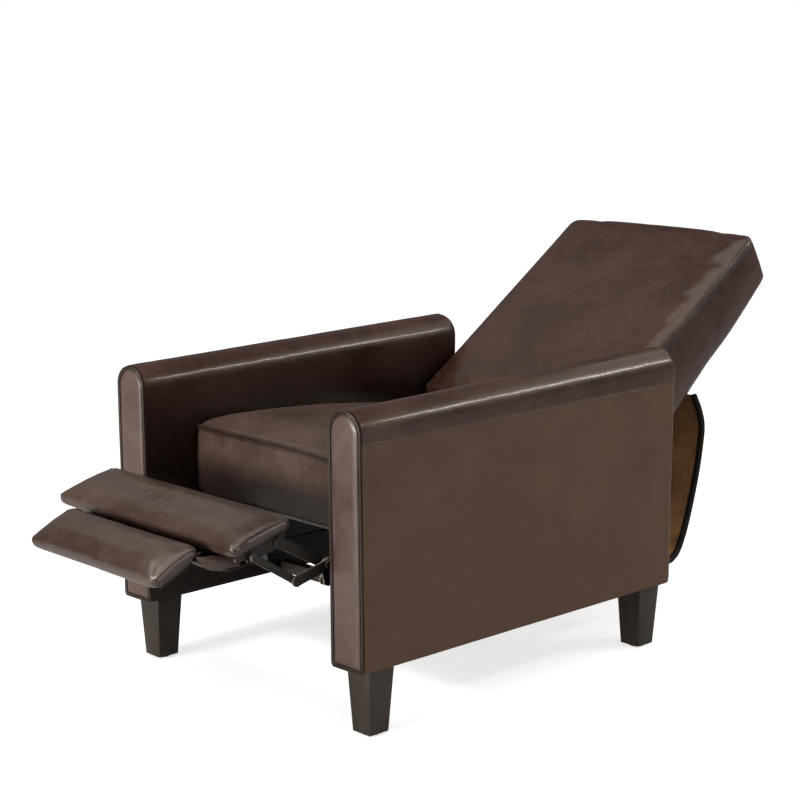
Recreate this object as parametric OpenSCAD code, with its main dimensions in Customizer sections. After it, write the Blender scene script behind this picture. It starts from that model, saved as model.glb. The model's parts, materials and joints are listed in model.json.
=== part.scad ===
// Push-back recliner armchair, drawn fully reclined with its footrest out.
// Millimetres. +Z is up, the footrest points along -Y, +X is the sitter's left.
// Side-view points are [distance behind the arm fronts, height above the floor].

/* [Overall] */
// Width over both arms
chair_w = 690; // [660:1:720]
// From the arm fronts back to the middle of the reclined length
mid_y = 471.2; // [460:0.1:480]

/* [Arms] */
// Width of one arm
arm_w = 82; // [76:1:90]
// Depth of an arm, front to rear
arm_d = 844; // [830:1:870]
// Underside of the arms
arm_base = 127; // [115:1:135]
// Crest of the arm roll
arm_top = 594; // [570:1:620]
// Thickness of the leather and its backing
skin = 3; // [2:0.5:4]

/* [Legs] */
// Width of a leg at the floor
leg_foot = 46; // [36:1:50]
// Width of a leg at the arm
leg_head = 60; // [52:1:66]
// Middle of a front leg behind the arm fronts
leg_front_y = 58; // [45:1:70]
// Middle of a rear leg behind the arm fronts
leg_rear_y = 792; // [770:1:805]

/* [Seat] */
// Width of the seat box
seat_w = 515; // [500:1:518]
// Front face of the seat box
seat_front = 120; // [110:1:130]
// Rear face of the seat box
seat_rear = 690; // [670:1:692]
// Bottom hem of the seat box
seat_hem = 328; // [326:1:334]
// Highest point of the seat's crown
seat_crown = 477.5; // [465:0.5:490]

/* [Back] */
// Height of the back's hinge pins
hinge_z = 329; // [324:1:334]
// Distance of the hinge pins behind the arm fronts
hinge_y = 800; // [795:1:805]
// Slope of the back's face above level when reclined
back_slope = 34.4; // [30:0.1:38]
// Hinge pins below the back's face
back_drop = 147; // [140:1:152]
// Length of the back's face
back_l = 594; // [560:1:620]
// Width of the back
back_w = 506; // [490:1:507]
// Thickness at the top of the back
back_top_t = 99; // [85:1:110]
// Thickness at the foot of the back
back_foot_t = 180; // [165:1:190]

/* [Footrest] */
// Width of the main pad
pad_w = 504; // [480:1:508]
// Depth of the main pad, front to rear
pad_d = 127; // [115:1:135]
// Width of the front pad
flip_w = 366; // [340:1:380]
// Depth of the front pad
flip_d = 99; // [85:1:105]
// Thickness of both pads
pad_t = 26; // [24:1:28]

/* [Links] */
// Width of a steel link
link_w = 20; // [16:1:22]
// Thickness of a steel link
link_t = 4; // [3:0.5:4]
// Diameter of a pivot pin
pin_d = 8; // [6:0.5:9]
// Length of a swing link under the seat
swing_l = 80; // [76:1:84]
// Lean of the swing links when reclined
swing_lean = 16.5; // [14:0.5:18]

/* [Hidden] */
$fn = 48;

wall_x = chair_w / 2 - arm_w;   // inner face of an arm
arm_x = chair_w / 2 - arm_w / 2; // middle of an arm
run = 0.08;                     // running clearance of a pivot, on the radius

// Footrest pivots in side view, relative to the chair when reclined
p_long = [139, 314];    // long link on the seat plate
p_cross = [6, 309];     // long link, pad link and elbow crank
p_elbow = [-65, 292];   // elbow crank and elbow link
p_pad = [-96, 365];     // pad link on the pad bracket
p_front = [-156, 350];  // elbow link at the pad bracket
p_tail = [15, 276];     // pad link and control link
p_hang = [146, 280];    // control link on the inner hanger

// Seat swing pivots on the base plate; the seat's own pivots stand above them
swing_front = [325, 213];
swing_rear = [575, 213];
swing_up = swing_l * [sin(swing_lean), cos(swing_lean)];

// Top rear edges of the two pads and their slopes
pad_at = [-80, 408];
pad_slope = 14.6;
flip_at = [-226, 369];
flip_slope = 25;
// The front pad's hinge, in the main pad's own frame
flip_hinge = [40 - pad_d, -pad_t - 10];

back_foot = [hinge_y - back_drop * sin(back_slope), hinge_z + back_drop * cos(back_slope)];

// ---------- shape helpers ----------

function unit(v) = v / norm(v);
// Points of one rounded corner p between neighbours a and b
function corner(a, p, b, r, n) =
  let (u = unit(a - p), v = unit(b - p), h = acos(u * v) / 2, c = p + unit(u + v) * r / sin(h),
       s = p + u * r / tan(h) - c, e = p + v * r / tan(h) - c, w = 180 - 2 * h)
  [for (i = [0:n]) c + (s * sin((1 - i / n) * w) + e * sin(i / n * w)) / sin(w)];
// Outline through [x, y, radius] corners
function rounded(q, n = 6) = let (m = len(q)) [for (i = [0:m - 1])
  let (p = [q[i][0], q[i][1]], a = q[(i + m - 1) % m], b = q[(i + 1) % m])
  each (q[i][2] > 0 ? corner([a[0], a[1]], p, [b[0], b[1]], q[i][2], n) : [p])];
// Height of the seat's crown, and a strip of its points
function crown(y) = seat_crown - pow(y - 250, 2) / 4440;

// Places a solid in the chair's own frame
module place() translate([0, -mid_y, 0]) children();
// A side-view outline between two distances from the middle
module side(x0, x1) translate([x0, 0, 0]) rotate([90, 0, 90]) linear_extrude(x1 - x0) children();
// A front-view outline between two distances behind the arm fronts
module front(y0, y1) translate([0, y1, 0]) rotate([90, 0, 0]) linear_extrude(y1 - y0) children();
// A solid and its mirror image across the chair
module pair() { children(); mirror([1, 0, 0]) children(); }
module flip_if(right) { if (right) mirror([1, 0, 0]) children(); else children(); }
module box(a, b) translate(a) cube(b - a);
// Steel plates lie in layers, counted inwards from the arm
function layer(i) = wall_x - 4.5 - 5 * i;
module plate(i) side(layer(i), layer(i) + link_t) children();
// One straight run of a link
module bar(a, b, w = link_w) {
  translate(a) circle(d = w);
  translate(b) circle(d = w);
  translate(a) rotate(atan2(b[1] - a[1], b[0] - a[0])) translate([0, -w / 2 + 0.5]) square([norm(b - a), w - 1]);
}
module hole(p, extra = run) translate(p) circle(d = pin_d + 2 * extra);
// A pin along X from x0 to x1
module pin(p, x0, x1, d = pin_d) translate([x0, p[0], p[1]]) rotate([0, 90, 0]) cylinder(d = d, h = x1 - x0);
module on_back() place() translate([0, back_foot[0], back_foot[1]]) rotate([back_slope, 0, 0]) children();
module on_pad() place() translate([0, pad_at[0], pad_at[1]]) rotate([pad_slope, 0, 0]) children();
module on_flipper() place() translate([0, flip_at[0], flip_at[1]]) rotate([flip_slope, 0, 0]) children();

// ---------- arms ----------

// Arch of the arm seen from the front, drawn smaller by i
module arm_arch(i, base = 0) {
  r = arm_w / 2 - i;
  polygon(rounded([[arm_x - r, arm_base + base, 4], [arm_x + r, arm_base + base, 4],
    [arm_x + r, arm_top - i, r - 0.01], [arm_x - r, arm_top - i, r - 0.01]], 12));
}
// The arm's side outline, drawn smaller by i
module arm_side(i, low) polygon(rounded([[6 + i, low, 0], [arm_d - i, low, low < arm_base ? 0 : 12],
  [arm_d - i, arm_top - i, 40 - i], [6 + i, arm_top - i, 0]]));
module arm_solid(i, low) intersection() {
  front(-10, arm_d + 10) arm_arch(i, low);
  side(wall_x - 5, chair_w / 2 + 5) arm_side(i, arm_base + low);
}
plate_bolts_at = [[285, 165], [620, 165]];
module arm_bolt_holes() for (p = plate_bolts_at) pin(p, wall_x - 1, wall_x + 32, 8);
module arm_cover(right) color([0.29, 0.24, 0.2]) place() flip_if(right) difference() {
  arm_solid(0, 0);
  arm_solid(skin, -20);
  arm_bolt_holes();
}
module arm_front_panel(right) color([0.43, 0.38, 0.35]) place() flip_if(right) front(2, 6) arm_arch(8.5, 8.5);
module arm_welt(right) color([0.2, 0.16, 0.14]) place() flip_if(right) difference() {
  front(0, 6) arm_arch(2, 2);
  front(-1, 7) arm_arch(8, 8);
}
board_top = arm_base + 12; // top of the arm's bottom board
foam_low = arm_top - 66;
module arm_foam(right) color([0.9, 0.86, 0.7]) place() flip_if(right) intersection() {
  arm_solid(skin + 0.3, 0);
  box([wall_x, 0, foam_low], [chair_w / 2, arm_d, arm_top]);
}
// Bottom board, two posts, a bottom rail and a board under the roll
module arm_frame(right) color([0.75, 0.6, 0.42]) place() flip_if(right) difference() {
  x0 = wall_x + skin + 0.5;
  x1 = chair_w / 2 - skin - 0.5;
  union() {
    box([x0, 10, arm_base], [x1, arm_d - 16, board_top]);
    box([x0, 12, board_top], [x1, 44, foam_low - 20]);
    box([x0, arm_d - 50, board_top], [x1, arm_d - 18, foam_low - 20]);
    box([x0, 44, board_top], [x0 + 30, arm_d - 50, board_top + 70]);
    box([x0, 12, foam_low - 20], [x1, arm_d - 18, foam_low - 0.5]);
  }
  arm_bolt_holes();
  for (y = [leg_front_y, leg_rear_y]) translate([arm_x, y, arm_base - 1]) cylinder(d = 8.4, h = 60);
}

// ---------- legs ----------

glide_h = 4;
module leg(right, y) color([0.25, 0.22, 0.2]) place() flip_if(right) difference() {
  taper = [[-leg_foot / 2, glide_h], [leg_foot / 2, glide_h],
    [leg_head / 2, arm_base], [-leg_head / 2, arm_base]];
  intersection() {
    translate([arm_x, 0, 0]) front(y - 50, y + 50) polygon(taper);
    translate([0, y, 0]) side(arm_x - 50, arm_x + 50) polygon(taper);
  }
  translate([arm_x, y, arm_base - 40]) cylinder(d = 8, h = 50);
}
module at_legs() pair() for (y = [leg_front_y, leg_rear_y]) translate([arm_x, y, 0]) children();
// Hanger bolts, each with its nut on the bottom board
module leg_bolts() color([0.7, 0.7, 0.72]) place() at_legs() {
  translate([0, 0, arm_base - 40]) cylinder(d = 8, h = 58);
}
module leg_glides() color([0.1, 0.1, 0.1]) place() at_legs() cylinder(d = 30, h = glide_h);

// ---------- base ----------

module rail(y0, y1, h) box([-wall_x + 0.2, y0, arm_base], [wall_x - 0.2, y1, arm_base + h]);
module cross_rail() color([0.2, 0.15, 0.12]) place() rail(335, 357, 22);
module rear_rail() color([0.2, 0.15, 0.12]) place() rail(812, 834, 62);
back_pin_low = 150;
module base_plate(right) color([0.28, 0.28, 0.3]) place() flip_if(right) {
  difference() {
    plate(0) {
      bar([270, 172], [640, 172], 44);
      bar(swing_front, [swing_front[0], 172], 40);
      bar(swing_rear, [swing_rear[0], 172], 40);
      bar([640, 172], [hinge_y, 205], 34);
      bar([hinge_y, 205], [hinge_y, hinge_z], 34);
    }
    for (p = plate_bolts_at) pin(p, wall_x - 20, wall_x + 20, 8.4);
  }
  for (p = [swing_front, swing_rear, [hinge_y, hinge_z]]) {
    pin(p, layer(1) - 0.5, layer(0) + 1);
    pin(p, layer(1) - 2.5, layer(1) - 0.5, 14);
  }
}
module plate_bolts() color([0.7, 0.7, 0.72]) place() pair() for (p = plate_bolts_at) {
  pin(p, layer(0), wall_x + 31, 8);
  pin(p, layer(0) - 4, layer(0), 15);
}
// Loose leather panel that closes the chair below the reclined back. It folds at
// flap_foot and at flap_fold, each a rolled hem, and its top lies on the back's rear.
flap_fold = [982, 146];
flap_t = 3;
module strip(q) {
  m = len(q) - 1;
  n = [for (i = [0:m]) let (d = unit(q[min(i + 1, m)] - q[max(i - 1, 0)])) [-d[1], d[0]]];
  side(-252, 252) polygon([for (i = [0:m]) q[i], for (i = [m:-1:0]) q[i] + n[i] * flap_t]);
}
flap_foot = [850, 131];
module flap_lower() color([0.3, 0.19, 0.11]) place() {
  strip([[850, 129.5], [940, 129], [965, 134], [977, 141]]);
  pin(flap_foot, -252, 252, flap_t);
}
module flap_upper() color([0.3, 0.19, 0.11]) place() {
  strip([flap_fold, [1004, 189], [1023, 246], [1041, 314], [1050, 365], [1053, 408], [1042, 442], [1022, 476]]);
  pin(flap_fold, -252, 252, flap_t);
}

// ---------- seat swings ----------

module swing_links(p, top_play) color([0.3, 0.3, 0.32]) place() pair() plate(1) difference() {
  bar(p, p + swing_up);
  hole(p);
  hole(p + swing_up, top_play);
}

// ---------- seat ----------

plate_low = 264;
module seat_plate(right) color([0.28, 0.28, 0.3]) place() flip_if(right) {
  plate(2) difference() {
    polygon(rounded([[131, plate_low + 26, 6], [170, plate_low, 6], [640, plate_low, 6],
      [640, seat_hem - 1, 0], [131, seat_hem - 1, 0]]));
    translate([270, 296]) circle(d = 20.1);
  }
  for (p = [swing_front, swing_rear]) pin(p + swing_up, layer(2) + 1, layer(1) + link_t);
  pin(p_long, layer(3) - 0.4, layer(2) + 1);
  pin(p_long, layer(3) - 2.4, layer(3) - 0.4, 14);
}
module inner_hangers() color([0.28, 0.28, 0.3]) place() pair() {
  plate(7) difference() {
    polygon(rounded([[129, seat_hem - 1, 0], [129, 266, 8], [160, 262, 8], [292, 270, 8], [292, seat_hem - 1, 0]]));
    translate([270, 296]) circle(d = 20.1);
  }
  pin(p_hang, layer(7) + 1, layer(6) + link_t);
}
module cross_tube() color([0.32, 0.32, 0.34]) place() difference() {
  pin([270, 296], -layer(2) - link_t, layer(2) + link_t, 20);
  pin([270, 296], -300, 300, 16);
}
seat_x = seat_w / 2;
seat_in = seat_x - skin;
module seat_outline(i, low) polygon([
  [seat_front + i, low], each corner([seat_front + i, low], [seat_front + i, crown(seat_front) - i],
    [250, seat_crown - i], 14 - i, 6),
  for (y = [170:40:610]) [y, crown(y) - i],
  each corner([610, crown(610) - i], [seat_rear - i, crown(seat_rear) - i], [seat_rear - i, low], 16 - i, 6),
  [seat_rear - i, low]]);
module seat_cover() color([0.37, 0.32, 0.3]) place() difference() {
  side(-seat_x, seat_x) seat_outline(0, seat_hem);
  side(-seat_in, seat_in) seat_outline(skin, seat_hem - 10);
}
frame_top = seat_hem + 62;
module seat_foam() color([0.93, 0.89, 0.72]) place() intersection() {
  side(-seat_in + 0.3, seat_in - 0.3) seat_outline(skin + 0.3, seat_hem);
  box([-seat_x, 0, frame_top + 10], [seat_x, seat_rear, seat_crown]);
}
// Two side rails, a front rail and a rear rail
module seat_frame() color([0.75, 0.6, 0.42]) place() difference() {
  a = [seat_in - 0.5, seat_front + skin + 0.5, seat_rear - skin - 0.5];
  box([-a[0], a[1], seat_hem + 3], [a[0], a[2], frame_top]);
  box([-a[0] + 24, a[1] + 24, seat_hem], [a[0] - 24, a[2] - 24, frame_top + 1]);
}
spring_x = [-180, -90, 0, 90, 180];
spring_y = [seat_front + 16, seat_rear - 16];
spring_d = 4;
spring_turns = 12;
// Flat zigzag wire springs from the front rail to the rear rail
module seat_springs() color([0.5, 0.5, 0.52]) place() for (x = spring_x) {
  pitch = (spring_y[1] - spring_y[0] - 24) / spring_turns;
  translate([x, spring_y[0] + 12, frame_top + 0.5]) linear_extrude(spring_d) for (i = [0:spring_turns]) {
    if (i < spring_turns) translate([i % 2 == 0 ? 20 : -20, i * pitch + pitch / 2]) square([spring_d, pitch + spring_d], center = true);
    translate([0, i * pitch]) square([40 + spring_d, spring_d], center = true);
  }
}
module spring_clips() color([0.6, 0.6, 0.6]) place() for (x = spring_x, e = [0, 1])
  translate([x - 14, spring_y[e] - 8, frame_top]) cube([28, 16, 3]);
module seat_welt() color([0.2, 0.16, 0.14]) place() for (k = [0, 1])
  translate([-seat_x + 6, seat_front - 2.3, crown(seat_front) - 13 - 6 * k]) rotate([0, 90, 0]) cylinder(d = 4.5, h = seat_w - 12);
module seat_hem_strip() color([0.3, 0.26, 0.22]) place()
  box([-seat_x + 4, seat_front - 1.5, seat_hem], [seat_x - 4, seat_front - 0.1, seat_hem + 3.5]);
module seat_dust_cloth() color([0.05, 0.05, 0.05]) place()
  box([-seat_in + 1, seat_front + skin + 1, seat_hem + 0.5], [seat_in - 1, seat_rear - skin - 1, seat_hem + 2]);

// ---------- footrest linkage ----------

module long_links() color([0.3, 0.3, 0.32]) place() pair() {
  plate(3) difference() {
    bar(p_long, p_cross);
    hole(p_long);
  }
  pin(p_cross, layer(4) - 0.4, layer(2) + link_t + 0.4);
  for (x = [layer(4) - 2.4, layer(2) + link_t + 0.4]) pin(p_cross, x, x + 2, 14);
}
module pad_links() color([0.33, 0.33, 0.35]) place() pair() {
  plate(4) difference() {
    union() { bar(p_pad, p_cross); bar(p_cross, p_tail); }
    hole(p_cross);
  }
  pin(p_pad, layer(5), layer(4) + 1);
  pin(p_tail, layer(6), layer(4) + 1);
}
module control_links() color([0.3, 0.3, 0.32]) place() pair() plate(6) difference() {
  bar(p_hang, p_tail);
  hole(p_hang);
  hole(p_tail, 2.2);
}
module elbow_cranks() color([0.3, 0.3, 0.32]) place() pair() {
  plate(2) difference() {
    bar(p_cross, p_elbow);
    hole(p_cross);
  }
  pin(p_elbow, layer(3) - 0.4, layer(2) + 1);
  pin(p_elbow, layer(3) - 2.4, layer(3) - 0.4, 14);
}
module elbow_links() color([0.33, 0.33, 0.35]) place() pair() {
  plate(3) difference() {
    bar(p_elbow, p_front, link_w - 5);
    hole(p_elbow);
  }
  pin(p_front, layer(3) + link_t, layer(3) + link_t + 2, 14);
}

// ---------- footrest pads ----------

module pad_brackets() color([0.3, 0.3, 0.32]) place() pair() {
  plate(5) difference() {
    union() {
      bar(p_pad, p_front);
      translate(pad_at) rotate(pad_slope) polygon([[-6, -pad_t - 0.5], [-pad_d + 6, -pad_t - 0.5],
        [-pad_d + 6, -pad_t - 6], [-pad_d + 40, -pad_t - 16], [-10, -pad_t - 16]]);
    }
    hole(p_pad);
  }
  pin(p_front, layer(5) + 1, layer(3) - 0.3);
}
// A pad outline in side view, drawn smaller by i, its underside open when low is true
module pad_side(d, i, low) polygon(rounded([[-i, low ? -pad_t - 5 : -pad_t, low ? 0 : 4], [-d + i, low ? -pad_t - 5 : -pad_t, low ? 0 : 4],
  [-d + i, -i, 11 - i], [-i, -i, 11 - i]]));
module pad_shell(w, d) difference() {
  side(-w / 2, w / 2) pad_side(d, 0, false);
  side(-w / 2 + skin, w / 2 - skin) pad_side(d, skin, true);
}
module pad_core(w, d, z0, z1) intersection() {
  side(-w / 2 + skin + 0.3, w / 2 - skin - 0.3) pad_side(d, skin + 0.3, true);
  box([-w, -d, z0], [w, 0, z1]);
}
module pad_board() color([0.78, 0.64, 0.45]) on_pad() pad_core(pad_w, pad_d, -pad_t, -pad_t + 12);
module pad_foam() color([0.93, 0.89, 0.72]) on_pad() pad_core(pad_w, pad_d, -pad_t + 12.3, 0);
module pad_cover() color([0.31, 0.27, 0.24]) on_pad() pad_shell(pad_w, pad_d);
lug_x = 150;
module flipper_lugs() color([0.3, 0.3, 0.32]) on_pad() pair() {
  side(lug_x, lug_x + 3) {
    bar(flip_hinge, flip_hinge + [0, 2], 14);
    translate([flip_hinge[0] - 12, -pad_t - 2.5]) square([24, 2]);
    translate([flip_hinge[0] - 6, flip_hinge[1]]) square([12, 9.5]);
  }
  pin(flip_hinge, lug_x - 4.5, lug_x + 1);
}
// Leather gusset that hides the hinge between the two pads
module bridge_flap() color([0.25, 0.2, 0.17]) on_pad() side(-182, 182)
  polygon([for (k = [0, 2]) each let (q = [for (a = [[-30, -4], [-52, -22], [-80, -24], [-120, -23], [-150, -20]])
    a - [0, pad_t + k]]) k == 0 ? q : [for (i = [4:-1:0]) q[i]]]);
module flipper_brackets() color([0.3, 0.3, 0.32]) on_pad() pair() side(lug_x - 4, lug_x - 1) difference() {
  union() {
    bar(flip_hinge, [-145, flip_hinge[1]], 13);
    bar([-145, flip_hinge[1]], [-215, -48], 12);
  }
  hole(flip_hinge);
}
module flipper_board() color([0.78, 0.64, 0.45]) on_flipper() pad_core(flip_w, flip_d, -pad_t, -pad_t + 12);
module flipper_foam() color([0.93, 0.89, 0.72]) on_flipper() pad_core(flip_w, flip_d, -pad_t + 12.3, 0);
module flipper_cover() color([0.31, 0.27, 0.24]) on_flipper() pad_shell(flip_w, flip_d);

// ---------- back ----------

back_x = back_w / 2;
back_start = 10;
function back_t(u) = back_foot_t + (back_top_t - back_foot_t) * u / back_l;
// The back's side outline in its own frame, drawn smaller by i
module back_side(i, u0, front_open) polygon(rounded([[u0, front_open ? 20 : -i, front_open ? 0 : 12 - i],
  [back_l - i, front_open ? 20 : -i, front_open ? 0 : 22 - i], [back_l - i, -back_t(back_l) + i, 26 - i],
  [u0, -back_t(u0) + i, u0 == back_start ? 10 : 0]]));
module back_cover() color([0.27, 0.2, 0.18]) on_back() difference() {
  side(-back_x, back_x) back_side(0, back_start, false);
  side(-back_x + skin, back_x - skin) back_side(skin, back_start + skin, false);
  outside_cut(0);
}
// The rear wall of the back, which is a panel of its own
module outside_cut(gap) side(-back_x + skin - gap, back_x - skin + gap)
  polygon([[back_start + 6, -back_t(back_start + 6) + 5], [back_l - 30, -back_t(back_l - 30) + 5],
    [back_l - 30, -back_t(back_l - 30) - 5], [back_start + 6, -back_t(back_start + 6) - 5]]);
module back_outside_panel() color([0.25, 0.2, 0.18]) on_back() side(-back_x + skin + 0.2, back_x - skin - 0.2)
  polygon([[back_start + 6.2, -back_t(back_start + 6.2) + 3], [back_l - 30.2, -back_t(back_l - 30.2) + 3],
    [back_l - 30.2, -back_t(back_l - 30.2)], [back_start + 6.2, -back_t(back_start + 6.2)]]);
foam_back = -62;
frame_in = back_x - skin - 0.5;
module back_foam() color([0.93, 0.89, 0.72]) on_back() intersection() {
  side(-frame_in, frame_in) back_side(skin + 0.3, back_start + skin + 0.3, false);
  box([-back_x, 0, foam_back], [back_x, back_l, 0]);
}
// Two posts and three cross rails behind the foam
module back_frame() color([0.75, 0.6, 0.42]) on_back() {
  pair() side(frame_in - 24, frame_in) polygon([[back_start + 6, foam_back - 1], [back_l - 30, foam_back - 1],
    [back_l - 30, -back_t(back_l - 30) + 8], [back_start + 6, -back_t(back_start + 6) + 8]]);
  for (u = [back_start + 6, 250, back_l - 52])
    box([-frame_in + 20, u, foam_back - 25], [frame_in - 20, u + 22, foam_back - 1]);
}
web_t = 0.9;
module back_webbing() color([0.12, 0.12, 0.12]) on_back() for (u = [60:70:520])
  box([-frame_in + 2, u, foam_back - 0.95], [frame_in - 2, u + 50, foam_back - 0.05]);
module back_welt() color([0.16, 0.12, 0.1]) on_back() {
  for (k = [0, 1]) translate([-back_x + 12, back_l + 2, -26 - 7 * k]) rotate([0, 90, 0]) cylinder(d = 4, h = back_w - 24);
}
// Steel arms from the back's frame down to the hinge pins
module back_brackets() color([0.28, 0.28, 0.3]) on_back() pair() side(layer(1), layer(1) + link_t) difference() {
  bar([0, -back_drop], [110, -back_drop + 30], 30);
  hole([0, -back_drop]);
}

arm_cover(false);  // arm_cover_left
arm_cover(true);  // arm_cover_right
arm_front_panel(false);  // arm_front_panel_left
arm_front_panel(true);  // arm_front_panel_right
arm_welt(false);  // arm_welt_left
arm_welt(true);  // arm_welt_right
arm_foam(false);  // arm_foam_left
arm_foam(true);  // arm_foam_right
arm_frame(false);  // arm_frame_left
arm_frame(true);  // arm_frame_right
leg(false, leg_front_y);  // leg_front_left
leg(true, leg_front_y);  // leg_front_right
leg(false, leg_rear_y);  // leg_rear_left
leg(true, leg_rear_y);  // leg_rear_right
leg_bolts();
leg_glides();
cross_rail();
rear_rail();
base_plate(false);  // base_plate_left
base_plate(true);  // base_plate_right
plate_bolts();
flap_lower();
flap_upper();
swing_links(swing_front, run);  // swing_links_front
swing_links(swing_rear, 0.5);  // swing_links_rear
seat_plate(false);  // seat_plate_left
seat_plate(true);  // seat_plate_right
inner_hangers();
cross_tube();
seat_frame();
seat_springs();
spring_clips();
seat_foam();
seat_cover();
seat_welt();
seat_hem_strip();
seat_dust_cloth();
long_links();
pad_links();
control_links();
elbow_cranks();
elbow_links();
pad_brackets();
pad_board();
pad_foam();
pad_cover();
flipper_lugs();
bridge_flap();
flipper_brackets();
flipper_board();
flipper_foam();
flipper_cover();
back_frame();
back_webbing();
back_foam();
back_cover();
back_outside_panel();
back_welt();
back_brackets();
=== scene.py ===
"""Looks for a push-back recliner armchair: leather arms, seat, back and pads, a rear flap, legs and steel links."""

from __future__ import annotations

import json
import logging
import math
from dataclasses import dataclass, field
from enum import Enum
from typing import Callable

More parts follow.
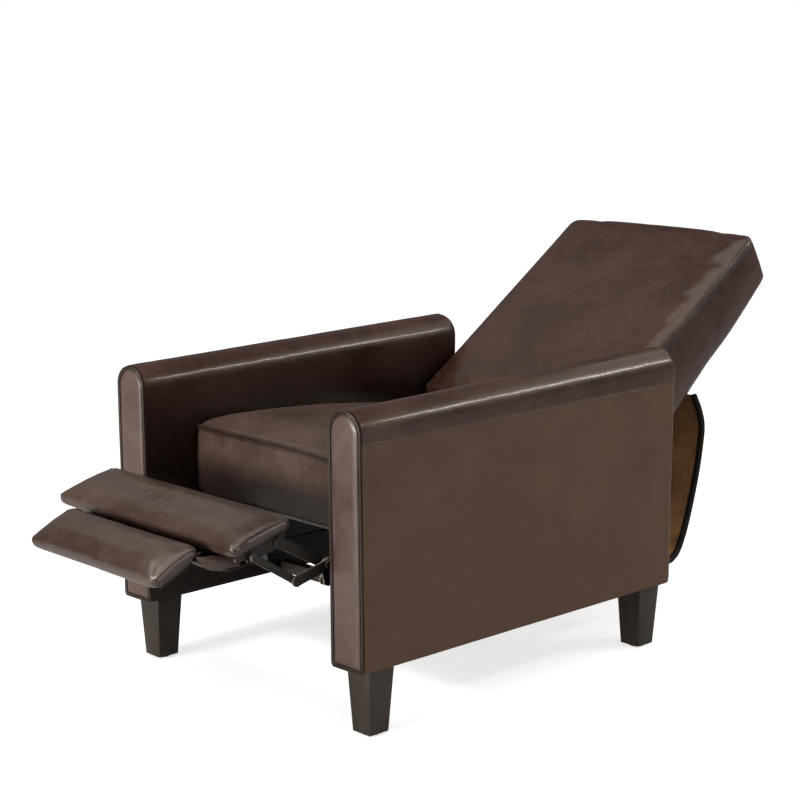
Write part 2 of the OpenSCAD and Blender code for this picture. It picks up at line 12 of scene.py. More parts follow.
import bmesh
import bpy
from mathutils import Quaternion, Vector, noise
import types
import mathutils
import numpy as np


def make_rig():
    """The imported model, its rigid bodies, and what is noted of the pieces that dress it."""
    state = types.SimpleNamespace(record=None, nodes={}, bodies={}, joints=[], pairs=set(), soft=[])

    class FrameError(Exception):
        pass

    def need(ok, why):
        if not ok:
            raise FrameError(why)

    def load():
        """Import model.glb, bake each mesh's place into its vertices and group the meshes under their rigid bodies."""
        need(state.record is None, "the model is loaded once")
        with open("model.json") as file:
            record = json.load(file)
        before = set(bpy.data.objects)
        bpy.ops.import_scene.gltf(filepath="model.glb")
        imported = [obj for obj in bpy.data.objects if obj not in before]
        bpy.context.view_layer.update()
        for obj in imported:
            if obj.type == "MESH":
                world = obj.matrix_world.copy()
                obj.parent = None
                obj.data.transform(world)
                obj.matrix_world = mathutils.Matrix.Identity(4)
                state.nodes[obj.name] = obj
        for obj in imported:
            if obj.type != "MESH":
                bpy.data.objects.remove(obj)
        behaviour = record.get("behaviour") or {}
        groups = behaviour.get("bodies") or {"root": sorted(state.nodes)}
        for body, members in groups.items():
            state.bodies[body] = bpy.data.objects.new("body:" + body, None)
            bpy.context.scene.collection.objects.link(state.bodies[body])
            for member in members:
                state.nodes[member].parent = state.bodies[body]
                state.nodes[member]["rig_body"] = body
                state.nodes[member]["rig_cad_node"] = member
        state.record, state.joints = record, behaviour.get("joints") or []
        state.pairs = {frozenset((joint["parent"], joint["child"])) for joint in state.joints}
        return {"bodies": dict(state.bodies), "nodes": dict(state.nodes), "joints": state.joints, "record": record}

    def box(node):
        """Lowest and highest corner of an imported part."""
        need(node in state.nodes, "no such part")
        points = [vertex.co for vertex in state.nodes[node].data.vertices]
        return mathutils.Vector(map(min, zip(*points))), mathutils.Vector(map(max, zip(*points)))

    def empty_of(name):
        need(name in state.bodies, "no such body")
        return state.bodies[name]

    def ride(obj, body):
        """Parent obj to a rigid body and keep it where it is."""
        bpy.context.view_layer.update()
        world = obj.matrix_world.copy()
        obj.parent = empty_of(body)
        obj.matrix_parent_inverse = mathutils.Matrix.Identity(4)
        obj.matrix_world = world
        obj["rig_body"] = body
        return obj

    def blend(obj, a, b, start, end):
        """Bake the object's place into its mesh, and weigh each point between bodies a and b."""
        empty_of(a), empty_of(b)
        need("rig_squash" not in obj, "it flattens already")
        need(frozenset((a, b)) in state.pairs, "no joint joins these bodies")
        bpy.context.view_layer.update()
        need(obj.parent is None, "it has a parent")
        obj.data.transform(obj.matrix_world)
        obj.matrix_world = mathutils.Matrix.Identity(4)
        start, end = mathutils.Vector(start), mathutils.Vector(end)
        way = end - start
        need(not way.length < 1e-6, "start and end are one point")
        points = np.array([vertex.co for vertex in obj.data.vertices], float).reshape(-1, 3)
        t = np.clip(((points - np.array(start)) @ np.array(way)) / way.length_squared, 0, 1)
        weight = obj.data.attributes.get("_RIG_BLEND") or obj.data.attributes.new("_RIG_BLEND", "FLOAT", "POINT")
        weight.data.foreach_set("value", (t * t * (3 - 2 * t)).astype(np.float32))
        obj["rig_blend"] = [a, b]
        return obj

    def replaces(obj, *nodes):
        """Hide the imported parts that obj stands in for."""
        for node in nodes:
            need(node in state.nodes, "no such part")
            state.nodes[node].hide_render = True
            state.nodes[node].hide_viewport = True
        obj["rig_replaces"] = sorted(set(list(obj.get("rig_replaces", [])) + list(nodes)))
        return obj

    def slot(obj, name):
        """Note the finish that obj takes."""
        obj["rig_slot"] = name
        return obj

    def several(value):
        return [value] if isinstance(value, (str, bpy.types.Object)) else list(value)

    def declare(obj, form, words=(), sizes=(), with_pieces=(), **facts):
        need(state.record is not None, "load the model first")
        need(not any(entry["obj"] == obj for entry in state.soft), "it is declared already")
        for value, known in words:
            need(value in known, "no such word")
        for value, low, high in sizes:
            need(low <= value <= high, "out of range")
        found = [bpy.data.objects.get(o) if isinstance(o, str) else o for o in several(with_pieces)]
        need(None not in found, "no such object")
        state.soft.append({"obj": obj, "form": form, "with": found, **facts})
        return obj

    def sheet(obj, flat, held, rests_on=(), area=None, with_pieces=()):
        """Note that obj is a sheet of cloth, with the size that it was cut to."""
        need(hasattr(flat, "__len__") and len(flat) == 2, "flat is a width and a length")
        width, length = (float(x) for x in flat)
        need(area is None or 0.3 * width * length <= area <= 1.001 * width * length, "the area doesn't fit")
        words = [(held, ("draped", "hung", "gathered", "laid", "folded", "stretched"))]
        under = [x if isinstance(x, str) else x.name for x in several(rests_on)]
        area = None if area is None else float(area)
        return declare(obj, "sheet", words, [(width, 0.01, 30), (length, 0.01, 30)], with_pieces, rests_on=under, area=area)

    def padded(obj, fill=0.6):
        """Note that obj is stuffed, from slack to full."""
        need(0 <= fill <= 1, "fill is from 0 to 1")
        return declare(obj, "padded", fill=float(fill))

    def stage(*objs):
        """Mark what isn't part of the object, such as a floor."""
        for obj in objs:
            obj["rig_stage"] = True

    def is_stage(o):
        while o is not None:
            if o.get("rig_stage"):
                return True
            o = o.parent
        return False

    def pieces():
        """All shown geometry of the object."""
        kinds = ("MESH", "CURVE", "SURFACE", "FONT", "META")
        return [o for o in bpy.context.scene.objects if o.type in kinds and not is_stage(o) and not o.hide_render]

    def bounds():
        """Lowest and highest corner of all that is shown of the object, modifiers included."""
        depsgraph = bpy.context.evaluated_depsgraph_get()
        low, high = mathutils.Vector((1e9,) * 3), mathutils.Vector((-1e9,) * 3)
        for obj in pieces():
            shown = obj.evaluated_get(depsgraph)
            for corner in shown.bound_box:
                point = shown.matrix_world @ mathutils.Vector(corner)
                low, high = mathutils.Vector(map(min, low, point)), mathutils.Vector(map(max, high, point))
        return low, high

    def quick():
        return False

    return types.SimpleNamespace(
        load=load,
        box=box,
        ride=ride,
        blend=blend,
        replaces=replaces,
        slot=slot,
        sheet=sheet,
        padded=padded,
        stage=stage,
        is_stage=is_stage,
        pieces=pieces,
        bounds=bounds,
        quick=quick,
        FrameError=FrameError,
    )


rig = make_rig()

log = logging.getLogger("recliner")

Point = tuple[float, float, float]
Ring = list[Point]

SOFT_EDGE, FIRM_EDGE, HARD_EDGE = 60, 50, 35  # degrees past which a fold is shaded as an edge
DEEP_BROWN, DEEP_BROWN_WORN = (0.017, 0.0068, 0.0046), (0.033, 0.0145, 0.0105)

LOWER_FLAP_LINE = [(0.846, 0.131), (0.9, 0.129), (0.94, 0.13), (0.9615, 0.1345)]
UPPER_FLAP_LINE = [
    (0.9615, 0.1345), (0.9825, 0.146), (1.0041, 0.189), (1.023, 0.2463), (1.0415, 0.3144), (1.0503, 0.3652),
    (1.0555, 0.4085), (1.041, 0.446), (1.0235, 0.474),
]
LOWER_FLAP_BEND = ((0.846, 0.131), (0.866, 0.13))
UPPER_FLAP_BEND = ((0.97, 0.139), (0.997, 0.17))
FLAP_HALF_WIDTH, FLAP_HEM = 0.252, 0.0068
GUSSET_LINE = [(-0.104, 0.378), (-0.106, 0.345), (-0.118, 0.322), (-0.15, 0.315), (-0.19, 0.32), (-0.232, 0.346)]
GUSSET_BEND = ((-0.13, 0.32), (-0.19, 0.325))


class Side(Enum):
    """The two sides of the chair, as signs along X."""

    LEFT = 1
    RIGHT = -1

    @property
    def label(self) -> str:
        """The side's name in piece and node names."""
        return self.name.lower()


# ---------------------------------------------------------------- numbers and curves


def lerp(a: float, b: float, t: float) -> float:
    """A value between a and b."""
    return a + (b - a) * t


def smooth(t: float) -> float:
    """A soft step from 0 to 1."""
    t = max(0.0, min(1.0, t))
    return t * t * (3 - 2 * t)


def bell(d: float, width: float) -> float:
    """A soft bump, 1 at d = 0 and near 0 beyond width."""
    return math.exp(-((d / width) ** 2) * 3)


def ripple(p: Point, scale: float, seed: float, octaves: int = 3) -> float:
    """Repeatable soft noise from -1 to 1.

    Args:
        p: the place it is read at, in metres.
        scale: waves per metre.
        seed: moves the pattern elsewhere.
        octaves: how many finer layers are added.

    Returns:
        The noise value.
    """
    value, gain, total = 0.0, 1.0, 0.0
    v = Vector(p) * scale + Vector((seed, seed * 1.7, seed * 0.3))
    for _ in range(octaves):
        value += noise.noise(v) * gain
        total += gain
        gain *= 0.5
        v = v * 2.03
    return value / total


def along(points: list[tuple[float, float]], x: float) -> float:
    """Reads a profile of (x, value) points at x, with straight runs between them.

    Args:
        points: the profile, in order of x.
        x: where it is read.

    Returns:
        The value there, level beyond both ends.
    """
    if x <= points[0][0]:
        return points[0][1]
    for (x0, v0), (x1, v1) in zip(points, points[1:]):
        if x <= x1:
            return lerp(v0, v1, (x - x0) / (x1 - x0))
    return points[-1][1]


def rounded_box(p: Point, half: Point, radius: float) -> Point:
    """Moves a point of a unit cube's surface onto a box with rounded edges.

    Args:
        p: the point, each part from -1 to 1.
        half: half sizes of the box.
        radius: radius of its edges and corners.

    Returns:
        The point on the rounded box.
    """
    core = [max(h - radius, 1e-4) for h in half]
    full = [a * h for a, h in zip(p, half)]
    q = [max(-c, min(c, a)) for a, c in zip(full, core)]
    d = Vector([a - b for a, b in zip(full, q)])
    if d.length < 1e-9:
        return tuple(full)
    d = d.normalized() * radius
    return (q[0] + d.x, q[1] + d.y, q[2] + d.z)


# ---------------------------------------------------------------- hand tools


def deselect() -> None:
    """Drops all that is selected, since an operator acts on it."""
    bpy.ops.object.select_all(action="DESELECT")


def select_only(obj: bpy.types.Object) -> None:
    """Selects one object, makes it active, and drops the rest.

    Args:
        obj: the object.
    """
    deselect()
    obj.select_set(True)
    bpy.context.view_layer.objects.active = obj


def settle(obj: bpy.types.Object) -> None:
    """Applies the object's place to its mesh."""
    select_only(obj)
    bpy.ops.object.transform_apply(location=True, rotation=True, scale=True)


def apply_modifiers(obj: bpy.types.Object) -> None:
    """Applies every modifier in order.

    Args:
        obj: the object that has them.
    """
    select_only(obj)
    for modifier in list(obj.modifiers):
        bpy.ops.object.modifier_apply(modifier=modifier.name)


def shade(obj: bpy.types.Object, angle: float) -> None:
    """Shades smooth, with hard edges past an angle in degrees."""
    select_only(obj)
    bpy.ops.object.shade_smooth_by_angle(angle=math.radians(angle))


def subdivided_cube(name: str, cuts: int) -> bpy.types.Object:
    """A cube from -1 to 1 with each edge cut into cuts + 1 parts.

    Args:
        name: the new object's name.
        cuts: cuts along each edge.

    Returns:
        The new object.
    """
    deselect()
    bpy.ops.mesh.primitive_cube_add(size=2)
    obj = bpy.context.active_object
    obj.name = name
    bpy.ops.object.mode_set(mode="EDIT")
    bpy.ops.mesh.select_all(action="SELECT")
    bpy.ops.mesh.subdivide(number_cuts=cuts)
    bpy.ops.object.mode_set(mode="OBJECT")
    return obj


def shaped(obj: bpy.types.Object, shape: Callable[[Point], Point]) -> bpy.types.Object:
    """Moves every vertex of obj to shape(vertex).

    Args:
        obj: the object.
        shape: gives a point's new place.

    Returns:
        The same object.
    """
    for v in obj.data.vertices:
        v.co = Vector(shape(tuple(v.co)))
    obj.data.update()
    return obj


def loft(name: str, rings: list[Ring], closed_ends: bool = True, loop: bool = False) -> bpy.types.Object:
    """A skin over rings of points.

    Args:
        name: the piece's name.
        rings: rings of equal length, in order.
        closed_ends: fills the first and last ring.
        loop: joins the last ring to the first.

    Returns:
        The new mesh object.
    """
    mesh = bpy.data.meshes.new(name)
    obj = bpy.data.objects.new(name, mesh)
    bpy.context.scene.collection.objects.link(obj)
    work = bmesh.new()
    rows = [[work.verts.new(p) for p in ring] for ring in rings]
    pairs = list(zip(rows, rows[1:]))
    if loop:
        pairs.append((rows[-1], rows[0]))
    count = len(rings[0])
    for low, high in pairs:
        for i in range(count):
            j = (i + 1) % count
            work.faces.new((low[i], low[j], high[j], high[i]))
    if closed_ends and not loop:
        for row in (rows[0], rows[-1]):
            centre = work.verts.new(sum((v.co for v in row), Vector()) / count)
            for i in range(count):
                work.faces.new((row[i], row[(i + 1) % count], centre))
    bmesh.ops.recalc_face_normals(work, faces=work.faces)
    work.to_mesh(mesh)
    work.free()
    return obj


def tube(name: str, path: list[Point], radius: float, loop: bool = False, sides: int = 10) -> bpy.types.Object:
    """A round cord of leather along a path.

    Args:
        name: the piece's name.
        path: the points it follows.
        radius: half its thickness, in metres.
        loop: joins its end to its start.
        sides: faces round it.

    Returns:
        The new mesh object.
    """
    rings: list[Ring] = []
    points = [Vector(p) for p in path]
    last = len(points) - 1
    side = Vector((0, 0, 1))
    for i, p in enumerate(points):
        before = points[i - 1] if i > 0 or loop else points[i]
        after = points[(i + 1) % len(points)] if i < last or loop else points[i]
        ahead = (after - before).normalized()
        side = side - ahead * side.dot(ahead)
        if side.length < 1e-3:
            side = ahead.orthogonal()
        side.normalize()
        up = ahead.cross(side)
        rings.append([
            tuple(p + (side * math.cos(a) + up * math.sin(a)) * radius)
            for a in (2 * math.pi * k / sides for k in range(sides))
        ])
    return loft(name, rings, loop=loop)


def fill_with_air(
    obj: bpy.types.Object,
    voxel: float,
    held: Callable[[Point], float],
    cap: float,
    pressure: float,
    slack: float,
    steps: int,
) -> None:
    """Swells a closed form like a stuffed cushion, with its seams held.

    Args:
        obj: the closed form.
        voxel: size of the remesh, in metres.
        held: how firmly a point is held, from 0 to 1.
        cap: the furthest that a point may move, in metres.
        pressure: how hard it is filled.
        slack: spare cloth, as a share of its size.
        steps: frames of the simulation.
    """
    select_only(obj)
    obj.data.remesh_voxel_size = voxel
    obj.data.remesh_voxel_adaptivity = 0
    bpy.ops.object.voxel_remesh()
    ease = obj.modifiers.new("Ease", "SMOOTH")
    ease.factor, ease.iterations = 0.5, 3
    apply_modifiers(obj)
    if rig.quick():
        return
    before = [v.co.copy() for v in obj.data.vertices]
    group = obj.vertex_groups.new(name="seams")
    for v in obj.data.vertices:
        weight = held(tuple(v.co))
        if weight > 0.01:
            group.add([v.index], min(1.0, weight), "REPLACE")
    modifier = obj.modifiers.new("Fill", "CLOTH")
    cloth = modifier.settings
    cloth.quality = 4
    cloth.mass = 0.3
    cloth.tension_stiffness = cloth.compression_stiffness = 12
    cloth.shear_stiffness = 6
    cloth.bending_stiffness = 0.4
    cloth.use_pressure = True
    cloth.uniform_pressure_force = pressure
    cloth.shrink_min = -slack
    cloth.vertex_group_mass = "seams"
    cloth.effector_weights.gravity = 0
    modifier.point_cache.frame_start, modifier.point_cache.frame_end = 1, steps
    for frame in range(1, steps + 1):
        bpy.context.scene.frame_set(frame)
    apply_modifiers(obj)
    bpy.context.scene.frame_set(1)
    for v, start in zip(obj.data.vertices, before):
        move = v.co - start
        if move.length > cap:
            v.co = start + move.normalized() * cap
    obj.vertex_groups.clear()
    calm = obj.modifiers.new("Calm", "SMOOTH")
    calm.factor, calm.iterations = 0.5, 5
    apply_modifiers(obj)


# ---------------------------------------------------------------- finishes


class Graph:
    """A short way to lay out a material's nodes."""

    def __init__(self, name: str) -> None:
        """Starts an empty material with its shader.

        Args:
            name: the material's name.
        """
        self.material = bpy.data.materials.new(name)
        self.material.use_nodes = True
        self.tree = self.material.node_tree
        self.tree.nodes.clear()
        self.shader = self.node("ShaderNodeBsdfPrincipled")
        out = self.node("ShaderNodeOutputMaterial")
        self.tree.links.new(self.shader.outputs[0], out.inputs[0])
        self.place = self.node("ShaderNodeTexCoord").outputs["Object"]

    def node(self, kind: str, **settings: object) -> bpy.types.Node:
        """Adds a node and sets its own properties.

        Args:
            kind: the node's type.
            settings: its properties by name.

        Returns:
            The new node.
        """
        made = self.tree.nodes.new(kind)
        for key, value in settings.items():
            setattr(made, key, value)
        return made

    def put(self, target: bpy.types.NodeSocket, value: object) -> None:
        """Links or sets a socket.

        Args:
            target: the socket to feed.
            value: another socket, or a plain value.
        """
        if isinstance(value, bpy.types.NodeSocket):
            self.tree.links.new(value, target)
        else:
            target.default_value = value

    def cloud(self, scale: float, detail: float = 4, rough: float = 0.55, warp: float = 0,
              stretch: Point | None = None) -> bpy.types.NodeSocket:
        """Soft noise on the object's own coordinates.

        Args:
            scale: waves per metre.
            detail: how many finer layers are added.
            rough: how strong the finer layers are.
            warp: how far it is distorted.
            stretch: its scale along each axis, where they differ.

        Returns:
            The noise, from 0 to 1.
        """
        made = self.node("ShaderNodeTexNoise")
        where = self.place
        if stretch:
            mapping = self.node("ShaderNodeMapping")
            self.put(mapping.inputs["Vector"], where)
            self.put(mapping.inputs["Scale"], stretch)
            where = mapping.outputs[0]
        self.put(made.inputs["Vector"], where)
        for key, value in (("Scale", scale), ("Detail", detail), ("Roughness", rough), ("Distortion", warp)):
            self.put(made.inputs[key], value)
        return made.outputs["Fac"]

    def cells(self, scale: float) -> bpy.types.NodeSocket:
        """Distance to the border of small cells.

        Args:
            scale: cells per metre.

        Returns:
            The distance.
        """
        made = self.node("ShaderNodeTexVoronoi", feature="DISTANCE_TO_EDGE")
        self.put(made.inputs["Vector"], self.place)
        self.put(made.inputs["Scale"], scale)
        return made.outputs["Distance"]

    def remap(self, value: bpy.types.NodeSocket, a: float, b: float, c: float, d: float) -> bpy.types.NodeSocket:
        """Maps a..b to c..d.

        Args:
            value: what is mapped.
            a: the value that becomes c.
            b: the value that becomes d.
            c: the result at a.
            d: the result at b.

        Returns:
            The mapped value, kept between c and d.
        """
        made = self.node("ShaderNodeMapRange")
        for i, v in enumerate((value, a, b, c, d)):
            self.put(made.inputs[i], v)
        return made.outputs[0]

    def sum(self, a: bpy.types.NodeSocket, b: object, how: str = "ADD") -> bpy.types.NodeSocket:
        """Joins two values.

        Args:
            a: the first value.
            b: the second, a socket or a number.
            how: the operation that joins them.

        Returns:
            The joined value.
        """
        made = self.node("ShaderNodeMath", operation=how)
        self.put(made.inputs[0], a)
        self.put(made.inputs[1], b)
        return made.outputs[0]

    def mix(self, factor: object, a: object, b: object) -> bpy.types.NodeSocket:
        """Mixes two colours.

        Args:
            factor: the share of b.
            a: the first colour.
            b: the second colour.

        Returns:
            The mixed colour.
        """
        made = self.node("ShaderNodeMix", data_type="RGBA")
        self.put(made.inputs[0], factor)
        self.put(made.inputs[6], a)
        self.put(made.inputs[7], b)
        return made.outputs[2]

    def colour(self, value: object) -> None:
        """Sets the base colour."""
        self.put(self.shader.inputs["Base Color"], value)

    def rough(self, value: object) -> None:
        """Sets the roughness."""
        self.put(self.shader.inputs["Roughness"], value)

    def bump(self, height: bpy.types.NodeSocket, depth: float, under: bpy.types.NodeSocket | None = None,
             strength: float = 1.0) -> bpy.types.NodeSocket:
        """Adds relief of a depth in metres, over an earlier relief.

        Args:
            height: the relief.
            depth: how deep it is, in metres.
            under: an earlier relief.
            strength: how much of it shows.

        Returns:
            The relief, for a later one to lie over.
        """
        made = self.node("ShaderNodeBump")
        made.inputs["Distance"].default_value = depth
        made.inputs["Strength"].default_value = strength
        self.put(made.inputs["Height"], height)
        if under:
            self.put(made.inputs["Normal"], under)
        self.put(self.shader.inputs["Normal"], made.outputs[0])
        return made.outputs[0]


def rgba(colour: Point) -> tuple[float, float, float, float]:
    """A colour with full opacity."""
    return (*colour, 1.0)


@dataclass(frozen=True)
class Leather:
    """Dyed upholstery leather with pebbled grain and soft creases, and, where shaded is given, painted shade that
    darkens it towards the bottom.
    """

    name: str
    colour: Point
    worn: Point
    roughness: float = 0.4
    grain: float = 0.0001
    crease: float = 0.0006
    crease_scale: float = 22.0
    coat: float = 0.06
    gloss: float = 0.32
    # shaded: the heights between which painted shade darkens the colour towards the bottom; foot_shade sets how dark
    # that painted shade is
    shaded: tuple[float, float] | None = None
    patch_scale: float = 7.0
    fine_scale: float = 60.0
    pore_scale: float = 620.0
    pore_shade: float = 0.45
    foot_shade: float = 0.22
    coat_roughness: float = 0.13

    def make(self) -> bpy.types.Material:
        """Builds the material.

        Returns:
            The material.
        """
        g = Graph(self.name)
        patches = g.cloud(self.patch_scale, 3, 0.55, 0.3)
        fine = g.cloud(self.fine_scale, 2, 0.5)
        blend = g.remap(g.sum(g.sum(patches, 0.7, "MULTIPLY"), g.sum(fine, 0.3, "MULTIPLY")), 0.36, 0.66, 0, 1)
        pores = g.cells(self.pore_scale)
        base = g.mix(blend, rgba(self.colour), rgba(self.worn))
        dark = tuple(c * self.pore_shade for c in self.colour)
        # painted shade: below the upper shaded height the colour is mixed, up to 85 percent at the lower one, towards
        # foot_shade times itself
        if self.shaded:
            height = g.node("ShaderNodeSeparateXYZ")
            g.put(height.inputs[0], g.place)
            deep = tuple(c * self.foot_shade for c in self.colour)
            base = g.mix(g.remap(height.outputs[2], *self.shaded, 0.85, 0), base, rgba(deep))
        g.colour(g.mix(g.remap(pores, 0, 0.12, 0.16, 0), base, rgba(dark)))
        g.rough(g.remap(g.sum(g.sum(patches, 0.75, "MULTIPLY"), g.sum(fine, 0.25, "MULTIPLY")), 0.35, 0.65,
                        self.roughness - 0.06, self.roughness + 0.1))
        folds = g.cloud(self.crease_scale, 2, 0.4, 0.4, (1.0, 0.55, 0.8))
        g.bump(fine, self.grain, g.bump(folds, self.crease))
        g.shader.inputs["Coat Weight"].default_value = self.coat
        g.shader.inputs["Coat Roughness"].default_value = self.coat_roughness
        g.shader.inputs["Specular IOR Level"].default_value = self.gloss
        return g.material


@dataclass(frozen=True)
class Wood:
    """Stained wood with long grain."""

    name: str
    colour: Point
    streak: Point
    roughness: float = 0.35
    coat: float = 0.2
    stretch: Point = (60.0, 60.0, 3.0)
    gloss: float = 0.5

    def make(self) -> bpy.types.Material:
        """Builds the material.

        Returns:
            The material.
        """
        g = Graph(self.name)
        grain = g.cloud(1.6, 8, 0.7, 0.6, self.stretch)
        pores = g.cloud(6, 4, 0.6, 0, self.stretch)
        g.colour(g.mix(g.remap(grain, 0.35, 0.65, 0, 1), rgba(self.colour), rgba(self.streak)))
        g.rough(g.remap(grain, 0.3, 0.7, self.roughness - 0.06, self.roughness + 0.1))
        g.bump(pores, 0.00018, g.bump(grain, 0.0003))
        g.shader.inputs["Coat Weight"].default_value = self.coat
        g.shader.inputs["Coat Roughness"].default_value = 0.2
        g.shader.inputs["Specular IOR Level"].default_value = self.gloss
        return g.material


@dataclass(frozen=True)
class Steel:
    """Pressed steel, painted on its faces and bright where it was cut."""

    name: str
    paint: Point
    edge: Point
    metallic: float = 0.6
    roughness: float = 0.38

    def make(self) -> bpy.types.Material:
        """Builds the material.

        Returns:
            The material.
        """
        g = Graph(self.name)
        scuff = g.cloud(45, 6, 0.7, 0.4)
        turned = g.node("ShaderNodeNewGeometry").outputs["Normal"]
        parts = g.node("ShaderNodeSeparateXYZ")
        g.put(parts.inputs[0], turned)
        across = g.sum(parts.outputs[0], 0, "ABSOLUTE")
        cut = g.remap(across, 0.75, 0.95, 1, 0)
        wear = g.sum(cut, g.remap(scuff, 0.62, 0.75, 0, 0.4), "MAXIMUM")
        g.colour(g.mix(wear, rgba(self.paint), rgba(self.edge)))
        g.rough(g.remap(scuff, 0.3, 0.7, self.roughness - 0.08, self.roughness + 0.12))
        g.bump(scuff, 0.00012)
        g.shader.inputs["Metallic"].default_value = self.metallic
        g.shader.inputs["Specular IOR Level"].default_value = 0.3
        return g.material


@dataclass(frozen=True)
class Weave:
    """Plain woven cloth, such as black backing cloth or webbing."""

    name: str
    colour: Point
    light: Point
    pitch: float = 900.0

    def make(self) -> bpy.types.Material:
        """Builds the material.

        Returns:
            The material.
        """
        g = Graph(self.name)
        waves = []
        for axis in ("X", "Y", "Z"):
            wave = g.node("ShaderNodeTexWave", wave_type="BANDS", bands_direction=axis)
            g.put(wave.inputs["Vector"], g.place)
            g.put(wave.inputs["Scale"], self.pitch)
            waves.append(wave.outputs["Fac"])
        threads = g.sum(g.sum(waves[0], waves[1]), waves[2])
        fuzz = g.cloud(300, 4, 0.7)
        g.colour(g.mix(g.remap(g.sum(threads, fuzz), 1.0, 3.0, 0, 1), rgba(self.colour), rgba(self.light)))
        g.rough(0.9)
        g.bump(threads, 0.0002)
        g.shader.inputs["Sheen Weight"].default_value = 0.15
        return g.material


@dataclass(frozen=True)
class Moulded:
    """Plain moulded plastic."""

    name: str
    colour: Point
    light: Point
    roughness: float = 0.6
    pore: float = 400.0

    def make(self) -> bpy.types.Material:
        """Builds the material.

        Returns:
            The material.
        """
        g = Graph(self.name)
        spots = g.cells(self.pore)
        tone = g.cloud(20, 5, 0.6)
        g.colour(g.mix(g.remap(tone, 0.3, 0.7, 0, 1), rgba(self.colour), rgba(self.light)))
        g.rough(g.remap(tone, 0.3, 0.7, self.roughness - 0.08, self.roughness + 0.08))
        g.bump(g.remap(spots, 0, 0.4, 0, 1), 0.0002)
        return g.material


@dataclass
class Finishes:
    """Every finish of the chair, made once and shared."""

    made: dict[str, bpy.types.Material] = field(default_factory=dict)

    def build(self) -> None:
        """Makes each material."""
        kinds = [
            Leather("leather", DEEP_BROWN, DEEP_BROWN_WORN, 0.33, coat=0.14, gloss=0.2),
            Leather("leather_side", (0.047, 0.0262, 0.0155), (0.059, 0.034, 0.021), 0.48, crease=0.0003, gloss=0.15,
                    coat=0.02),
            Leather("leather_front", (0.034, 0.02, 0.0155), (0.056, 0.036, 0.0295), 0.36, coat=0.1),
            # painted shade: the seat's leather darkens towards the bottom of its front band, from 0.43 m down to 0.36
            # m
            Leather("leather_seat", (0.026, 0.0148, 0.0115), (0.044, 0.0275, 0.022), 0.38, coat=0.03,
                    gloss=0.2, shaded=(0.36, 0.43)),
            # painted shade: the deep brown leather again, for the arms' inner sides, darkened towards the bottom
            Leather("leather_inner", DEEP_BROWN, DEEP_BROWN_WORN, 0.33, coat=0.12, gloss=0.18, shaded=(0.47, 0.56)),
            Leather("leather_hem", (0.003, 0.0016, 0.001), (0.006, 0.0032, 0.002), 0.5, crease=0.0, coat=0.0,
                    gloss=0.1),
            Leather("leather_pad", (0.0195, 0.011, 0.0084), (0.034, 0.021, 0.0165), 0.31, coat=0.13, gloss=0.3),
            Leather("leather_welt", (0.01, 0.0052, 0.0038), (0.018, 0.0105, 0.008), 0.36, crease=0.0002),
            Leather("thread", (0.11, 0.075, 0.05), (0.17, 0.12, 0.085), 0.6, crease=0.0, gloss=0.2),
            Leather("leather_back_side", (0.115, 0.053, 0.019), (0.23, 0.115, 0.045), 0.8, crease=0.0006, coat=0.0),
            Wood("leg_wood", (0.01, 0.0065, 0.0042), (0.02, 0.014, 0.0095), 0.42, coat=0.0, gloss=0.28),
            Steel("steel", (0.005, 0.0038, 0.003), (0.09, 0.075, 0.06), metallic=0.15, roughness=0.46),
            Steel("bright_steel", (0.42, 0.42, 0.43), (0.6, 0.6, 0.6), metallic=1.0, roughness=0.3),
            Moulded("glide", (0.012, 0.012, 0.012), (0.02, 0.02, 0.02), 0.5),
            Weave("black_cloth", (0.006, 0.006, 0.006), (0.02, 0.02, 0.02)),
            Weave("tack_strip", (0.014, 0.0095, 0.007), (0.028, 0.02, 0.015)),
        ]
        for kind in kinds:
            self.made[kind.name] = kind.make()

    def dress(self, obj: bpy.types.Object, *names: str) -> None:
        """Gives a piece these finishes as its material slots.

        Args:
            obj: the piece.
            names: the finishes, in order.
        """
        obj.data.materials.clear()
        for name in names:
            obj.data.materials.append(self.made[name])


@dataclass
class Layout:
    """Where things are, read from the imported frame."""

    record: dict
    hinge_depth: float = 0.8

    @property
    def middle(self) -> float:
        """Distance from the arms' fronts to the row frame's middle."""
        pins = next(j for j in self.record["behaviour"]["joints"] if j["name"] == "recline")
        return self.hinge_depth - pins["pos_m"][1]

    def at(self, x: float, y: float, z: float) -> Point:
        """A point given behind the arms' fronts and above the floor, in the row frame."""
        return (x, y - self.middle, z)


@dataclass
class Chair:
    """What every sub-assembly shares."""

    layout: Layout
    finishes: Finishes

    def add(self, obj: bpy.types.Object, body: str | None, slot: str, replaced: tuple[str, ...],
            *names: str) -> bpy.types.Object:
        """Dresses a piece, rides it and says what it stands for.

        Args:
            obj: the finished piece.
            body: the body it rides, or None if it is blended later.
            slot: the record's material slot.
            replaced: CAD nodes it stands for.
            names: finishes, where they differ from the slot's own.

        Returns:
            The same piece.
        """
        wanted = names or (slot,)
        if len(obj.data.materials) != len(wanted):
            self.finishes.dress(obj, *wanted)
        if body:
            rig.ride(obj, body)
        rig.slot(obj, "welt" if slot == "leather_welt" else slot)
        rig.replaces(obj, *replaced)
        log.info("%s: %d faces", obj.name, len(obj.data.polygons))
        return obj

    def welt(self, name: str, path: list[Point], radius: float, body: str | None,
             replaced: tuple[str, ...] = (), finish: str = "leather_welt", loop: bool = False,
             sides: int = 10) -> bpy.types.Object:
        """Makes a welt, a seam or a hem along a path, and adds it.

        Args:
            name: the piece's name.
            path: the points it follows.
            radius: half its thickness, in metres.
            body: the body it rides, or None if it is blended later.
            replaced: CAD nodes it stands for.
            finish: its finish.
            loop: joins its end to its start.
            sides: faces round it.

        Returns:
            The new piece.
        """
        piece = tube(name, path, radius, loop, sides)
        shade(piece, SOFT_EDGE)
        return self.add(piece, body, "leather_welt", replaced, finish)


# ---------------------------------------------------------------- arms


